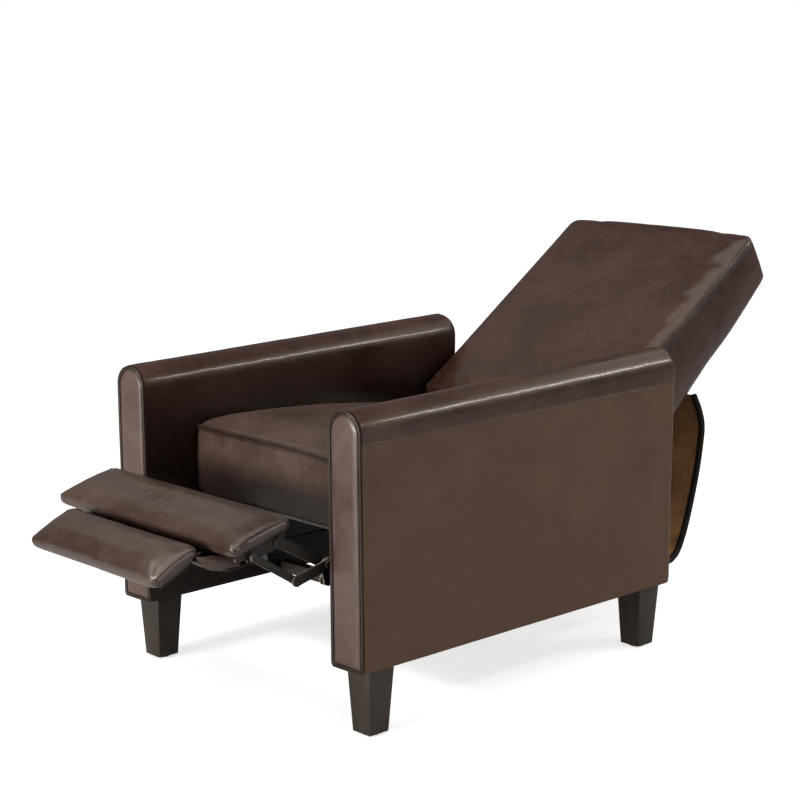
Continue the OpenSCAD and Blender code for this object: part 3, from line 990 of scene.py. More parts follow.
@dataclass
class Arm:
    """One upholstered arm with its front panel, double welt and side seam."""

    chair: Chair
    side: Side
    seam_height: float = 0.535
    rear_radius: float = 0.017
    corner_radius: float = 0.01
    welt_radius: float = 0.0018
    droop: float = 0.003
    climb: float = 0.011
    cover_steps: int = 150
    panel_rows: int = 110
    panel_columns: int = 28
    panel_inset: float = 0.0072
    panel_edge: float = 0.004
    stitch_count: int = 92
    thread_radius: float = 0.0006

    def __post_init__(self) -> None:
        """Reads the arm's size from its cover."""
        low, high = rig.box(f"arm_cover_{self.side.label}")
        self.x = (low.x + high.x) / 2
        self.half = (high.x - low.x) / 2
        self.front, self.rear = low.y, high.y
        self.base, self.crest = low.z, high.z

    def arch(self, inset: float, count: int = 40, sink: float = 0.0) -> list[tuple[float, float]]:
        """The arm's outline seen from the front, as (x, z), anticlockwise from the low outer corner.

        Args:
            inset: how far inside the cover it runs, in metres.
            count: rows of points up each side.
            sink: how far the crest is lowered, in metres.

        Returns:
            The points of the outline.
        """
        r = self.half - inset
        top = self.crest - sink - inset - r
        base = self.base + inset
        out = self.side.value
        c = min(0.006, r * 0.4)
        points: list[tuple[float, float]] = []
        for k in range(6):
            a = math.radians(90 * k / 5)
            points.append((r - c + c * math.sin(a), base + c - c * math.cos(a)))
        low = int(count * 0.8)
        wall = [lerp(base + c, self.seam_height, k / low) for k in range(low)]
        wall += [lerp(self.seam_height, top, k / (count - low)) for k in range(count - low + 1)]
        points += [(r, z) for z in wall[1:]]
        for k in range(1, 32):
            a = math.pi * k / 32
            points.append((r * math.cos(a), top + r * math.sin(a)))
        points += [(-r, z) for z in reversed(wall)]
        for k in range(1, 6):
            a = math.radians(90 * k / 5)
            points.append((-r + c - c * math.cos(a), base + c - c * math.sin(a)))
        for k in range(1, 8):
            points.append((lerp(-r + c, r - c, k / 8), base))
        return [(self.x + x * out, z) for x, z in points]

    def lean(self, y: float, z: float) -> float:
        """Lets the arm's front and rear lean out a little towards its crest."""
        share = smooth((z - self.base) / (self.crest - self.base))
        return y + lerp(-0.005, 0.004, (y - self.front) / (self.rear - self.front)) * share

    def cover(self) -> None:
        """The leather over the sides, roll and rear of the arm, with painted shade on its inner side."""
        rings: list[Ring] = []
        for k in range(self.cover_steps + 1):
            share = k / self.cover_steps
            y = lerp(self.front + 0.001, self.rear, share)
            over = max(0.0, y - (self.rear - self.corner_radius))
            inset = self.corner_radius - math.sqrt(max(0.0, self.corner_radius**2 - over**2))
            over = max(0.0, y - (self.rear - self.rear_radius))
            sink = self.rear_radius - math.sqrt(max(0.0, self.rear_radius**2 - over**2))
            ring: Ring = []
            climb = lerp(-self.droop, self.climb, share)
            for x, z in self.arch(inset * 0.8, 64, max(0.0, sink - inset) - climb):
                outwards = (x - self.x) * self.side.value
                d = 0.0
                if abs(outwards) > self.half * 0.5 or z > self.crest - 0.04:
                    d += 0.0012 * ripple((x, y, z), 5, 3.1 + self.side.value, 2)
                    d += 0.0005 * ripple((x, y, z), 21, 8.4, 2)
                if outwards > 0:
                    d -= 0.0016 * bell(z - self.seam_height, 0.005)
                    d += 0.0012 * smooth((z - self.seam_height) / 0.004)
                pull = bell(y - self.front, 0.03)
                d -= pull * 0.0008 * (1 + ripple((x, y, z), 60, 1.0, 1))
                centre = Vector((self.x, 0, min(z, self.crest - self.half)))
                out = Vector((x, 0, z)) - centre
                out = out.normalized() if out.length > 1e-6 else Vector((0, 0, 1))
                ring.append((x + out.x * d, self.lean(y, z), z + out.z * d))
            rings.append(ring)
        label = self.side.label
        finishes = ("leather", "leather_side", "leather_inner")
        cover = loft(f"arm_leather_{label}", rings)
        shade(cover, FIRM_EDGE)
        self.chair.finishes.dress(cover, *finishes)
        for face in cover.data.polygons:
            turned = face.normal.x * self.side.value
            if turned > 0.6 and face.center.z < self.seam_height:
                face.material_index = finishes.index("leather_side")
            # painted shade: inner faces up to just above the seam take the darkened copy of the leather
            elif turned < -0.2 and face.center.z < self.seam_height + 0.027:
                face.material_index = finishes.index("leather_inner")
        self.chair.add(cover, "base", "leather", (f"arm_cover_{label}", f"arm_foam_{label}", f"arm_frame_{label}"),
                       *finishes)
        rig.padded(cover, 0.8)

    def front_panel(self) -> None:
        """The padded panel on the arm's front, built in level rows."""
        face = self.chair.layout.at(0, 0.004, 0)[1]
        inset, edging = self.panel_inset, self.panel_edge
        r = self.half - inset
        low, high = self.base + inset, self.crest - self.droop - inset
        rings: list[Ring] = []
        rows, across = self.panel_rows, self.panel_columns
        for k in range(rows + 1):
            z = high - (high - low) * (0.5 + 0.5 * math.cos(math.pi * k / rows))
            z = max(low, min(high - 2e-5, z))
            up = max(0.0, z - (high - r))
            down = max(0.0, low + edging - z)
            wide = math.sqrt(max(1e-8, r * r - up * up)) - (edging - math.sqrt(max(0.0, edging**2 - down**2)))
            front: Ring = []
            for i in range(across + 1):
                x = -wide * math.cos(math.pi * i / across)
                edge = r - math.hypot(x, up) if up > 0 else min(wide - abs(x), z - low)
                t = min(1.0, max(0.0, edge) / 0.014)
                y = face - 0.0042 * math.sqrt(max(0.0, 1 - (1 - t) ** 2)) + 0.0008 * ripple((x, 0, z), 7, 5.0, 2)
                front.append((self.x + x, self.lean(y, z), z))
            rings.append(front + [(x, self.lean(face + 0.003, z), z) for x, _, z in reversed(front)])
        panel = loft(f"arm_front_leather_{self.side.label}", rings)
        shade(panel, FIRM_EDGE)
        self.chair.add(panel, "base", "leather_front", (f"arm_front_panel_{self.side.label}",))
        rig.padded(panel, 0.7)

    def welts(self) -> None:
        """The two welts round the front panel."""
        label = self.side.label
        for name, inset, depth in (("outer", 0.0018, 0.0022), ("inner", 0.0058, 0.0016)):
            y = self.chair.layout.at(0, depth, 0)[1]
            path = [(x, self.lean(y, z), z) for x, z in self.arch(inset, sink=self.droop)]
            nodes = (f"arm_welt_{label}",) if name == "outer" else ()
            self.chair.welt(f"arm_welt_{name}_{label}", path, self.welt_radius, "base", nodes, loop=True)

    def stitches(self) -> None:
        """The row of thread along the side seam."""
        out = self.x + self.side.value * (self.half - 0.0004)
        stitches: list[bpy.types.Object] = []
        length = (self.rear - self.front - 0.03) / self.stitch_count
        for k in range(self.stitch_count):
            y = self.front + 0.012 + k * length
            path = [(out, y + length * t, self.seam_height + 0.001) for t in (0.08, 0.4, 0.7, 0.92)]
            stitches.append(tube(f"stitch_{k}", path, self.thread_radius, sides=5))
        deselect()
        for stitch in stitches:
            stitch.select_set(True)
        bpy.context.view_layer.objects.active = stitches[0]
        bpy.ops.object.join()
        thread = bpy.context.active_object
        thread.name = f"arm_stitches_{self.side.label}"
        self.chair.add(thread, "base", "leather_welt", (), "thread")

    def rear_seam(self) -> None:
        """The fine seam down the arm's outer rear corner."""
        x = self.x + self.side.value * (self.half - 0.0015)
        y = self.rear - self.corner_radius * 0.45
        path = [(x, y, lerp(self.base + 0.012, self.seam_height, i / 30)) for i in range(31)]
        self.chair.welt(f"arm_rear_seam_{self.side.label}", path, 0.0009, "base", finish="thread", sides=6)

    def build(self) -> None:
        """Builds the whole arm."""
        self.cover()
        self.front_panel()
        self.welts()
        self.stitches()
        self.rear_seam()


# ---------------------------------------------------------------- legs


@dataclass
class Legs:
    """Four square legs that taper on all sides to the floor."""

    chair: Chair
    edge: float = 0.0018
    taper: float = 0.76

    def leg(self, node: str) -> None:
        """One leg: a cube tapered towards the floor, with its edges eased.

        Args:
            node: the CAD leg it stands for.
        """
        low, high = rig.box(node)
        deselect()
        bpy.ops.mesh.primitive_cube_add(size=1, location=(low + high) / 2, scale=(high - low))
        leg = bpy.context.active_object
        leg.name = node.replace("leg", "wooden_leg")
        settle(leg)
        bpy.ops.object.mode_set(mode="EDIT")
        mesh = bmesh.from_edit_mesh(leg.data)
        for v in mesh.verts:
            v.select_set(v.co.z < low.z + 1e-4)
        mesh.select_flush(True)
        bmesh.update_edit_mesh(leg.data)
        centre = ((low.x + high.x) / 2, (low.y + high.y) / 2, low.z)
        bpy.ops.transform.resize(value=(self.taper, self.taper, 1), center_override=centre)
        bpy.ops.mesh.select_all(action="SELECT")
        bpy.ops.mesh.bevel(offset=self.edge, segments=3)
        bpy.ops.object.mode_set(mode="OBJECT")
        shade(leg, HARD_EDGE)
        self.chair.add(leg, "base", "leg_wood", (node,))

    def build(self) -> None:
        """Builds the four legs."""
        for end in ("front", "rear"):
            for side in Side:
                self.leg(f"leg_{end}_{side.label}")


# ---------------------------------------------------------------- seat


@dataclass
class Seat:
    """The boxed seat: a crowned top, a puckered front band, two welts and a hem."""

    chair: Chair
    crown: list[tuple[float, float]] = field(default_factory=lambda: [
        (0.115, 0.469), (0.15, 0.479), (0.19, 0.483), (0.25, 0.483), (0.294, 0.481), (0.388, 0.476),
        (0.485, 0.466), (0.612, 0.451), (0.69, 0.443),
    ])
    half_width: float = 0.2595
    front: float = 0.1165
    rear: float = 0.69
    welt_height: float = 0.465
    tucks: tuple[tuple[float, float], ...] = ((-0.2, 0.0014), (-0.178, 0.001), (-0.14, 0.0016), (-0.116, 0.001))

    half_thickness: float = 0.07
    rounding: float = 0.014
    welt_radius: float = 0.0019
    welt_steps: int = 60

    def __post_init__(self) -> None:
        """Reads the height of the seat's hem from its cover."""
        self.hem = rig.box("seat_cover")[0].z

    def puff(self, x: float) -> float:
        """How far the front welt is pushed up, most towards the right end."""
        return lerp(-0.002, 0.0035, smooth((0.15 - x) / 0.12)) + 0.0025 * smooth((-x - 0.17) / 0.09)

    def top(self, x: float, y: float) -> float:
        """Height of the top panel.

        Args:
            x: across the seat.
            y: behind the arms' fronts.

        Returns:
            The height above the floor.
        """
        edge = abs(x) / self.half_width
        front = smooth((self.front + 0.13 - y) / 0.13) * self.puff(x)
        return along(self.crown, y) - 0.002 - 0.007 * edge**8 + front

    def shape(self, p: Point) -> Point:
        """Places one point of the cube on the seat.

        Args:
            p: the point of the cube.

        Returns:
            Its place in the row frame.
        """
        thick = self.half_thickness
        half = (self.half_width, (self.rear - self.front) / 2, thick)
        x, y, z = rounded_box(p, half, self.rounding)
        depth = y + (self.rear + self.front) / 2
        w = (z + thick) / (2 * thick)
        height = lerp(self.hem, self.top(x, depth), w)
        dip = bell((depth - 0.42) / 0.2, 1.0) * bell(x / 0.17, 1.0) * 0.003 * smooth((w - 0.8) * 5)
        ahead = smooth((self.front + 0.05 - depth) / 0.05)
        depth -= ahead * 0.004 * bell(w - 0.45, 0.6)
        return self.chair.layout.at(x, depth, height - dip)

    def held(self, p: Point) -> float:
        """Holds the hem, the side seams and the front welt.

        Args:
            p: a point of the row frame.

        Returns:
            How firmly it is held, from 0 to 1.
        """
        x, z = abs(p[0]), p[2]
        depth = p[1] + self.chair.layout.middle
        seam = 0.0
        if depth < self.front + 0.012:
            seam = bell(z - self.welt_height - self.puff(p[0]) + 0.004, 0.008)
        side = bell(x - self.half_width, 0.008) * bell(z - self.top(x, depth) + 0.01, 0.012)
        return max(seam, side, 1.0 if z < self.hem + 0.012 else 0.0, 1.0 if depth > self.rear - 0.03 else 0.0)

    def cushion(self) -> None:
        """The seat's leather."""
        cushion = shaped(subdivided_cube("seat_leather", 60), self.shape)
        fill_with_air(cushion, 0.007, self.held, cap=0.005, pressure=1.4, slack=0.001, steps=14)
        for v in cushion.data.vertices:
            x, y, z = v.co
            depth = y + self.chair.layout.middle
            if depth < self.front + 0.03 and z < self.welt_height:
                fade = smooth((self.front + 0.03 - depth) / 0.03)
                hang = smooth((self.welt_height - z) / 0.03) * smooth((z - 0.33) / 0.03)
                tucks = sum(deep * bell(x - at, 0.008) for at, deep in self.tucks) * smooth((z - 0.405) / 0.04)
                v.co.y += fade * hang * (tucks + 0.0007 * ripple((x * 1.3, 0, z * 0.5), 8, 2.3, 1))
            else:
                v.co.z += 0.0012 * ripple((x, y, z), 7, 4.4, 1) * smooth((z - 0.42) / 0.02)
        cushion.data.update()
        shade(cushion, SOFT_EDGE)
        # the seat finish carries painted shade on the lower front band
        self.chair.add(cushion, "seat", "leather_front", ("seat_cover", "seat_foam", "seat_frame"), "seat")
        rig.padded(cushion, 0.75)

    def welts(self) -> None:
        """Two lines of welt under the front edge."""
        end = self.half_width - 0.013
        for k, drop in enumerate((0.0, 0.0054)):
            path: list[Point] = []
            for i in range(self.welt_steps + 1):
                x = lerp(-end, end, i / self.welt_steps)
                z = self.welt_height + self.puff(x) - 0.002 - drop + 0.0009 * ripple((x, 0, 0), 12, 3.0 + k, 2)
                path.append(self.chair.layout.at(x, self.front - 0.0036 + 0.0007 * k, z))
            nodes = ("seat_welt",) if k == 0 else ()
            self.chair.welt(f"seat_welt_{k + 1}", path, self.welt_radius, "seat", nodes)

    def build(self) -> None:
        """Builds the seat."""
        self.cushion()
        self.welts()


# ---------------------------------------------------------------- back


@dataclass
class Back:
    """The wedge back with its crowned face, stitched front edges and plain outside panel."""

    chair: Chair
    foot: tuple[float, float] = (0.7169, 0.4503)
    slope: float = math.radians(34.4)
    length: float = 0.594
    start: float = 0.01
    thick_foot: float = 0.18
    thick_top: float = 0.099
    half_width: float = 0.253
    half_thickness: float = 0.05
    rounding: float = 0.013
    welt_radius: float = 0.0016
    welt_bend: float = 0.03

    def local(self, x: float, u: float, depth: float) -> Point:
        """A point given across, up the face and behind it.

        Args:
            x: across the back.
            u: up its face from the foot.
            depth: behind its face.

        Returns:
            The point in the row frame.
        """
        y = self.foot[0] + u * math.cos(self.slope) + depth * math.sin(self.slope)
        z = self.foot[1] + u * math.sin(self.slope) - depth * math.cos(self.slope)
        return self.chair.layout.at(x, y, z)

    def thickness(self, u: float) -> float:
        """Thickness of the back at a distance up its face."""
        return lerp(self.thick_foot, self.thick_top, u / self.length)

    def shape(self, p: Point) -> Point:
        """Places one point of the cube on the back.

        Args:
            p: the point of the cube.

        Returns:
            Its place in the row frame.
        """
        half = (self.half_width, (self.length - self.start) / 2 + 0.006, self.half_thickness)
        x, along_face, d = rounded_box(p, half, self.rounding)
        u = along_face + (self.length + self.start) / 2 + 0.007
        share = (self.half_thickness - d) / (2 * self.half_thickness)
        belly = 0.001 + 0.008 * smooth((u - 0.32) / 0.12)
        depth = lerp(-0.005, self.thickness(u) + belly, share)
        edge = abs(x) / self.half_width
        top = smooth((u - (self.length - 0.1)) / 0.1)
        depth -= (1 - share) * 0.004 * (1 - edge**4)
        u -= 0.01 * top * max(0.0, share - 0.25) ** 1.5
        u += top * (0.004 - 0.013 * edge**6)
        return self.local(x, u, depth)

    def inverse(self, p: Point) -> tuple[float, float, float]:
        """Across, up the face and behind it, for a point of the row frame.

        Args:
            p: the point.

        Returns:
            The three distances.
        """
        y = p[1] + self.chair.layout.middle - self.foot[0]
        z = p[2] - self.foot[1]
        return (
            p[0],
            y * math.cos(self.slope) + z * math.sin(self.slope),
            y * math.sin(self.slope) - z * math.cos(self.slope),
        )

    def held(self, p: Point) -> float:
        """Holds the side seams, the top seam and the outside panel.

        Args:
            p: a point of the row frame.

        Returns:
            How firmly it is held, from 0 to 1.
        """
        x, u, depth = self.inverse(p)
        side = bell(abs(x) - self.half_width, 0.008) * bell(depth - 0.012, 0.01)
        top = bell(u - self.length, 0.012) * bell(depth - 0.03, 0.012)
        rear = 1.0 if depth > self.thickness(u) - 0.012 else 0.0
        low = 1.0 if u < self.start + 0.03 else 0.0
        return max(side, top, rear, low)

    def cushion(self) -> None:
        """The back's leather."""
        cushion = shaped(subdivided_cube("back_leather", 60), self.shape)
        fill_with_air(cushion, 0.007, self.held, cap=0.004, pressure=0.9, slack=0.006, steps=12)
        for v in cushion.data.vertices:
            x, u, depth = self.inverse(tuple(v.co))
            if depth < 0.02:
                crease = ripple((x * 0.5, u * 2.0, 0), 11, 6.2, 3) * 0.0009
                edge = smooth((abs(x) - 0.16) / 0.08)
                crease += edge * ripple((x * 0.5, u * 3.6, 0), 30, 1.7, 2) * 0.0003
                v.co.y -= crease * math.sin(self.slope)
                v.co.z += crease * math.cos(self.slope)
        cushion.data.update()
        shade(cushion, SOFT_EDGE)
        self.chair.add(cushion, "back", "leather", ("back_cover", "back_outside_panel", "back_foam", "back_frame"),
                       "back")
        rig.padded(cushion, 0.75)

    def welt_corner(self, sign: int, degrees: float, depth: float) -> Point:
        """A point of a welt where it bends round a top corner.

        Args:
            sign: which corner, as a sign along X.
            degrees: how far round the bend it is, up from the side.
            depth: how far behind the face it is.

        Returns:
            The point in the row frame.
        """
        a = math.radians(degrees)
        across = self.half_width + 0.0005 - self.welt_bend * (1 - math.cos(a))
        return self.local(sign * across, self.length - 0.022 + 0.034 * math.sin(a), depth)

    def welts(self) -> None:
        """Welts down both front edges and over the top."""
        edge, bend = self.half_width + 0.0005, self.welt_bend
        high = self.length - 0.03
        for k, inset in enumerate((0.0005, 0.0062)):
            depth = inset + 0.005
            path = [self.local(-edge, lerp(0.03, high, i / 30), depth) for i in range(31)]
            path += [self.welt_corner(-1, 90 * i / 8, depth) for i in range(1, 9)]
            path += [
                self.local(lerp(-edge + bend, edge - bend, i / 24), self.length + 0.012, depth) for i in range(1, 25)
            ]
            path += [self.welt_corner(1, 90 - 90 * i / 8, depth) for i in range(1, 9)]
            path += [self.local(edge, lerp(high, 0.03, i / 30), depth) for i in range(31)]
            nodes = ("back_welt",) if k == 0 else ()
            self.chair.welt(f"back_welt_{k + 1}", path, self.welt_radius, "back", nodes)

    def build(self) -> None:
        """Builds the back."""
        self.cushion()
        self.welts()


# ---------------------------------------------------------------- footrest pads


@dataclass
class Pad:
    """One footrest pad: a crowned leather cushion with mitred corners."""

    chair: Chair
    name: str
    body: str
    node: str
    width: float
    depth: float
    top: tuple[float, float]
    slope: float
    thickness: float = 0.031
    crown: float = 0.008
    lift: float = 0.0105
    tilt: float = -0.012
    shift: float = 0.0
    rounding: float = 0.0075

    def local(self, x: float, u: float, z: float) -> Point:
        """A point across, behind and above the pad's rear top edge.

        Args:
            x: across the pad.
            u: behind the edge.
            z: above the edge.

        Returns:
            The point in the row frame.
        """
        a = math.radians(self.slope)
        y = self.top[0] + u * math.cos(a) - z * math.sin(a)
        h = self.top[1] + u * math.sin(a) + z * math.cos(a)
        return self.chair.layout.at(x, y, h)

    def inverse(self, p: Point) -> tuple[float, float, float]:
        """The pad's own coordinates of a point of the row frame.

        Args:
            p: the point.

        Returns:
            The distances across, behind and above the edge.
        """
        a = math.radians(self.slope)
        y, z = p[1] + self.chair.layout.middle - self.top[0], p[2] - self.top[1]
        return (p[0], y * math.cos(a) + z * math.sin(a), -y * math.sin(a) + z * math.cos(a))

    def shape(self, p: Point) -> Point:
        """Places one point of the cube on the pad.

        Args:
            p: the point of the cube.

        Returns:
            Its place in the row frame.
        """
        half = (self.width / 2 + 0.002, self.depth / 2 + 0.002, self.thickness / 2)
        x, v, w = rounded_box(p, half, self.rounding)
        ex, ey = half[0] - abs(x), half[1] - abs(v)
        corner = math.exp(-((ex / 0.03) ** 2) - (ey / 0.03) ** 2)
        rise = self.crown * smooth(ex / 0.045) * smooth(ey / 0.04)
        z = w - self.thickness / 2
        if w > 0:
            z += rise - 0.003 - 0.002 * corner
        else:
            z += 0.003 * corner
        z += self.lift + self.tilt * x
        x *= 1 - 0.007 * smooth(ey / 0.05) * (half[0] - ex * 0.5) / half[0]
        v *= 1 - 0.03 * smooth(ex / 0.06)
        return self.local(x + self.shift, v - self.depth / 2, z)

    def held(self, p: Point) -> float:
        """Holds the lower seam and the corners.

        Args:
            p: a point of the row frame.

        Returns:
            How firmly it is held, from 0 to 1.
        """
        x, u, z = self.inverse(p)
        v = u + self.depth / 2
        corner = bell(math.hypot(abs(x) - self.width / 2, abs(v) - self.depth / 2), 0.02)
        return max(corner, 1.0 if z < -self.thickness + 0.009 + self.lift + self.tilt * x else 0.0)

    def build(self) -> None:
        """Builds the pad's leather."""
        pad = shaped(subdivided_cube(self.name, 36), self.shape)
        fill_with_air(pad, 0.0045, self.held, cap=0.0025, pressure=1.2, slack=0.002, steps=10)
        for vert in pad.data.vertices:
            x, u, z = self.inverse(tuple(vert.co))
            v = u + self.depth / 2
            if z > self.lift + self.tilt * x - 0.018:
                ex, ey = self.width / 2 - abs(x), self.depth / 2 - abs(v)
                mitre = bell((ex - ey) / 1.4, 0.0045) * smooth((0.036 - ex) / 0.03)
                move = -0.002 * mitre + 0.0006 * ripple((x * 1.4, u, z), 11, len(self.name), 1)
                a = math.radians(self.slope)
                vert.co.y -= move * math.sin(a)
                vert.co.z += move * math.cos(a)
        pad.data.update()
        shade(pad, SOFT_EDGE)
        stem = self.node.removesuffix("_cover")
        self.chair.add(pad, self.body, "leather", (self.node, f"{stem}_foam", f"{stem}_board"), "pad")
        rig.padded(pad, 0.8)


# ---------------------------------------------------------------- loose leather


@dataclass
class Flap:
    """Loose leather: a strip along a side-view line, with a dark outside and a raw inside."""

    chair: Chair
    name: str
    line: list[tuple[float, float]]
    half_width: float
    bodies: tuple[str, str]
    bend: tuple[tuple[float, float], tuple[float, float]]
    nodes: tuple[str, ...]
    thickness: float = 0.0026
    sag: float = 0.002
    held: str = "hung"
    inside: str = "leather_back_side"
    hem: float = 0.0
    columns: int = 48
    spacing: float = 0.008

    def bend_over(self, piece: bpy.types.Object) -> None:
        """Bends a piece between the flap's two bodies."""
        (ya, za), (yb, zb) = self.bend
        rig.blend(piece, *self.bodies, start=self.chair.layout.at(0, ya, za), end=self.chair.layout.at(0, yb, zb))

    def smooth_line(self) -> list[tuple[float, float]]:
        """The line with soft corners and even spacing.

        Returns:
            Its points, as (y, z).
        """
        points = [Vector((a, b, 0)) for a, b in self.line]
        for _ in range(3):
            cut = [points[0]]
            for a, b in zip(points, points[1:]):
                cut += [a.lerp(b, 0.25), a.lerp(b, 0.75)]
            points = cut + [points[-1]]
        length = sum((b - a).length for a, b in zip(points, points[1:]))
        count = max(8, int(length / self.spacing))
        even, step, run = [points[0]], length / count, 0.0
        for a, b in zip(points, points[1:]):
            size = (b - a).length
            while size > 1e-9 and run + size >= step * len(even) and len(even) < count:
                even.append(a.lerp(b, (step * len(even) - run) / size))
            run += size
        even.append(points[-1])
        return [(p.x, p.y) for p in even]

    def build(self) -> None:
        """Builds the strip and declares its flat size."""
        line = self.smooth_line()
        length = sum(math.dist(a, b) for a, b in zip(line, line[1:]))
        deselect()
        bpy.ops.mesh.primitive_grid_add(x_subdivisions=self.columns, y_subdivisions=len(line) - 1, size=2)
        strip = bpy.context.active_object
        strip.name = self.name
        count = len(line) - 1
        for v in strip.data.vertices:
            i = min(count, max(0, round((v.co.y + 1) / 2 * count)))
            a, b = line[max(0, i - 1)], line[min(count, i + 1)]
            n = Vector((b[1] - a[1], a[0] - b[0])).normalized()
            x = v.co.x * self.half_width
            fade = smooth(min(i, count - i) / 5)
            move = self.sag * fade * ripple((x, line[i][0] * 0.6, line[i][1] * 0.6), 9, 2.0, 2)
            v.co = Vector(self.chair.layout.at(x, line[i][0] + n.x * move, line[i][1] + n.y * move))
        settle(strip)
        wall = strip.modifiers.new("Wall", "SOLIDIFY")
        wall.thickness, wall.offset, wall.use_rim = self.thickness, 0, True
        wall.material_offset, wall.material_offset_rim = 1, 2
        self.chair.finishes.dress(strip, self.inside, "leather", "leather_welt")
        apply_modifiers(strip)
        shade(strip, FIRM_EDGE)
        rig.slot(strip, "leather")
        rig.replaces(strip, *self.nodes)
        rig.sheet(strip, flat=(self.half_width * 2, length), held=self.held, rests_on=[])
        self.bend_over(strip)
        if self.hem:
            for side in Side:
                path = [self.chair.layout.at(side.value * self.half_width, y, z) for y, z in line]
                name = f"{self.name}_hem_{side.label}"
                self.bend_over(self.chair.welt(name, path, self.hem, None, finish="leather_hem", sides=8))
        log.info("%s: %.3f x %.3f m flat", self.name, self.half_width * 2, length)


@dataclass
class GussetCheeks:
    """The folded leather at each end of the gusset between the pads."""

    chair: Chair
    outline: tuple[tuple[float, float], ...] = (
        (-0.236, 0.358), (-0.216, 0.349), (-0.182, 0.351), (-0.148, 0.344), (-0.138, 0.333), (-0.132, 0.32),
        (-0.142, 0.3195), (-0.158, 0.3205), (-0.18, 0.3185), (-0.206, 0.3245), (-0.226, 0.338),
    )
    x: float = 0.186
    layers: tuple[tuple[float, float], ...] = (
        (0.86, -0.006), (1.0, -0.003), (0.97, 0.0005), (0.7, 0.003), (0.35, 0.004),
    )

    def build(self) -> None:
        """Builds both cheeks, each a soft pillow of folded leather."""
        count = len(self.outline)
        cy = sum(p[0] for p in self.outline) / count
        cz = sum(p[1] for p in self.outline) / count
        at = self.chair.layout.at
        (y_from, z_from), (y_to, z_to) = GUSSET_BEND
        for side in Side:
            rings: list[Ring] = []
            for share, out in self.layers:
                rings.append([
                    at(side.value * (self.x + out), lerp(cy, y, share), lerp(cz, z, share))
                    for y, z in self.outline
                ])
            cheek = loft(f"gusset_cheek_{side.label}", rings)
            finer = cheek.modifiers.new("Finer", "SUBSURF")
            finer.levels = finer.render_levels = 2
            apply_modifiers(cheek)
            shade(cheek, SOFT_EDGE)
            self.chair.add(cheek, None, "leather_front", ())
            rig.blend(cheek, "footrest", "flipper", start=at(0, y_from, z_from), end=at(0, y_to, z_to))


# ---------------------------------------------------------------- steel and other carried-over parts


@dataclass
class CarriedOver:
    """The CAD nodes that stay in sight, each with its full finish."""

    chair: Chair
    renamed: dict[str, str] = field(default_factory=lambda: {"welt": "leather_welt"})

    def build(self) -> None:
        """Gives every node that is still shown the finish of its slot."""
        nodes = {o.name: o for o in bpy.data.objects if "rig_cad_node" in o and not o.hide_render}
        slots = {p["node"]: p["material_slot"] for p in self.chair.layout.record["subparts"]}
        for name, obj in nodes.items():
            slot = slots[name]
            self.chair.finishes.dress(obj, self.renamed.get(slot, slot))
        log.info("%d carried-over nodes dressed", len(nodes))


# ---------------------------------------------------------------- camera, lights and floor


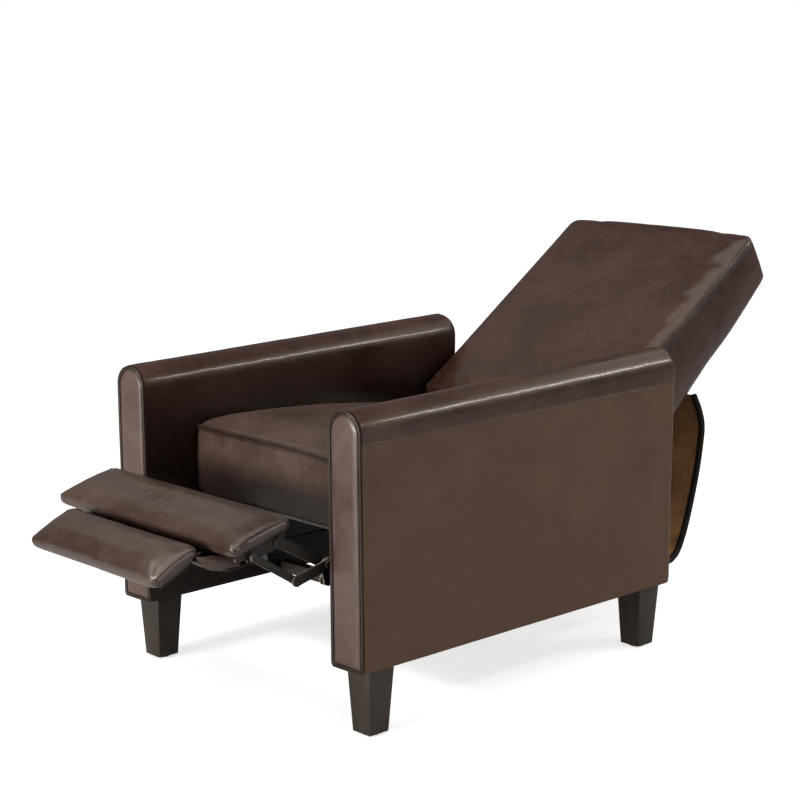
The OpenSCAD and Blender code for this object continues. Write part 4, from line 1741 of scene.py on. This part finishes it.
@dataclass
class Studio:
    """A pale floor, soft lights and the camera."""

    chair: Chair
    place: Point = (2.7881, -2.2520, 1.2584)
    azimuth: float = 46.203
    elevation: float = 10.964
    lens: float = 90.53
    fill: float = 0.2
    floor_size: float = 40.0
    floor_glow: float = 0.66
    overhead: float = 3.05
    warmth: Point = (1.0, 0.93, 0.86)

    def camera(self) -> None:
        """The camera, looking at the chair from its left front."""
        data = bpy.data.cameras.new("camera")
        data.lens, data.sensor_width = self.lens, 36
        obj = bpy.data.objects.new("camera", data)
        bpy.context.scene.collection.objects.link(obj)
        obj.location = self.chair.layout.at(*self.place)
        obj.rotation_euler = (math.radians(90 - self.elevation), 0, math.radians(self.azimuth))
        bpy.context.scene.camera = obj

    def floor(self) -> None:
        """A wide pale floor that glows a little where it is seen directly, so it stays pale."""
        deselect()
        bpy.ops.mesh.primitive_plane_add(size=self.floor_size, location=(0, 0, 0))
        floor = bpy.context.active_object
        floor.name = "floor"
        settle(floor)
        g = Graph("pale_floor")
        seen = g.node("ShaderNodeLightPath").outputs["Is Camera Ray"]
        g.colour(g.mix(g.remap(g.cloud(2, 3), 0.3, 0.7, 0, 1), (0.42, 0.42, 0.42, 1), (0.44, 0.44, 0.44, 1)))
        g.put(g.shader.inputs["Emission Color"], (1, 1, 1, 1))
        g.put(g.shader.inputs["Emission Strength"], g.sum(seen, self.floor_glow, "MULTIPLY"))
        g.rough(0.75)
        floor.data.materials.append(g.material)
        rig.stage(floor)

    def light(self, name: str, place: Point, aim: Point, size: tuple[float, float], power: float,
              turn: float = 0.0) -> None:
        """One soft box, turned about its own axis by some degrees.

        Args:
            name: the light's name.
            place: where it hangs.
            aim: the point it faces.
            size: its two sides, in metres.
            power: its power, in watts.
            turn: its turn about its own axis, in degrees.
        """
        data = bpy.data.lights.new(name, "AREA")
        data.shape, data.size, data.size_y, data.energy = "RECTANGLE", size[0], size[1], power
        data.color = self.warmth
        obj = bpy.data.objects.new(name, data)
        bpy.context.scene.collection.objects.link(obj)
        obj.location = place
        facing = (Vector(aim) - Vector(place)).to_track_quat("-Z", "Y")
        obj.rotation_euler = (facing @ Quaternion((0, 0, 1), math.radians(turn))).to_euler()

    def build(self) -> None:
        """Builds the studio."""
        self.camera()
        self.floor()
        self.sky()
        self.sun()
        self.light("left_box", (3.0, 0.4, 0.72), (0, 0.1, 0.4), (1.6, 1.0), 27)
        self.light("front_box", (-0.3, -3.3, 0.64), (0, 0, 0.38), (1.4, 0.5), 125)
        self.light("pad_box", (-0.2, -1.9, 2.6), (0.1, -0.7, 0.4), (0.8, 0.35), 66)
        self.light("rear_box", (0.6, 2.6, 2.4), (0, 0.2, 0.5), (2.4, 1.0), 12)
        self.light("sheen_box", (-2.4, 0.3, 3.0), (0, 0.4, 0.6), (1.8, 1.8), 5)
        self.light("roll_light", (1.9, 2.08, 1.95), (0.3, 0, 0.58), (1.2, 0.2), 36, -36)
        bpy.context.scene.view_settings.view_transform = "Standard"

    def sky(self) -> None:
        """A white backdrop that lights the chair less than it shows."""
        world = bpy.data.worlds.new("studio")
        world.use_nodes = True
        tree = world.node_tree
        seen = tree.nodes.new("ShaderNodeLightPath").outputs["Is Camera Ray"]
        strength = tree.nodes.new("ShaderNodeMapRange")
        tree.links.new(seen, strength.inputs[0])
        strength.inputs[3].default_value, strength.inputs[4].default_value = self.fill, 1.0
        back = tree.nodes["Background"]
        back.inputs[0].default_value = (1, 1, 1, 1)
        tree.links.new(strength.outputs[0], back.inputs[1])
        bpy.context.scene.world = world

    def sun(self) -> None:
        """The wide overhead light that keeps the floor pale."""
        data = bpy.data.lights.new("overhead", "SUN")
        data.energy, data.angle = self.overhead, math.radians(70)
        data.color = (1.0, 0.96, 0.92)
        obj = bpy.data.objects.new("overhead", data)
        bpy.context.scene.collection.objects.link(obj)
        obj.rotation_euler = (math.radians(14), math.radians(8), 0)


def main() -> None:
    """Builds the chair's looks in order."""
    logging.basicConfig(level=logging.INFO, format="%(message)s")
    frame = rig.load()
    cad_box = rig.bounds()
    finishes = Finishes()
    finishes.build()
    # the seat's finish carries painted shade on its lower front band
    for name, source in (("seat", "leather_seat"), ("back", "leather"), ("pad", "leather_pad")):
        finishes.made[name] = finishes.made[source]
    chair = Chair(Layout(frame["record"]), finishes)
    Studio(chair).build()
    for side in Side:
        Arm(chair, side).build()
    Legs(chair).build()
    Seat(chair).build()
    Back(chair).build()
    Pad(chair, "pad_leather", "footrest", "pad_cover", width=0.506, depth=0.128, top=(-0.081, 0.408), slope=14.6,
        shift=-0.003).build()
    Pad(chair, "flipper_leather", "flipper", "flipper_cover", width=0.362, depth=0.1, top=(-0.229, 0.3705),
        slope=25.0).build()
    Flap(chair, "flap_leather_lower", LOWER_FLAP_LINE, FLAP_HALF_WIDTH, ("base", "flap_lower"), LOWER_FLAP_BEND,
         ("flap_lower",), hem=FLAP_HEM).build()
    Flap(chair, "flap_leather_upper", UPPER_FLAP_LINE, FLAP_HALF_WIDTH, ("flap_lower", "flap_upper"), UPPER_FLAP_BEND,
         ("flap_upper",), sag=0.003, hem=FLAP_HEM).build()
    Flap(chair, "pad_gusset", GUSSET_LINE, 0.186, ("footrest", "flipper"), GUSSET_BEND, ("bridge_flap",),
         inside="leather_front").build()
    GussetCheeks(chair).build()
    CarriedOver(chair).build()
    final_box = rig.bounds()
    with open("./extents.json", "w", encoding="utf-8") as out:
        json.dump([[list(c) for c in cad_box], [list(c) for c in final_box]], out)


if __name__ == "__main__":
    main()
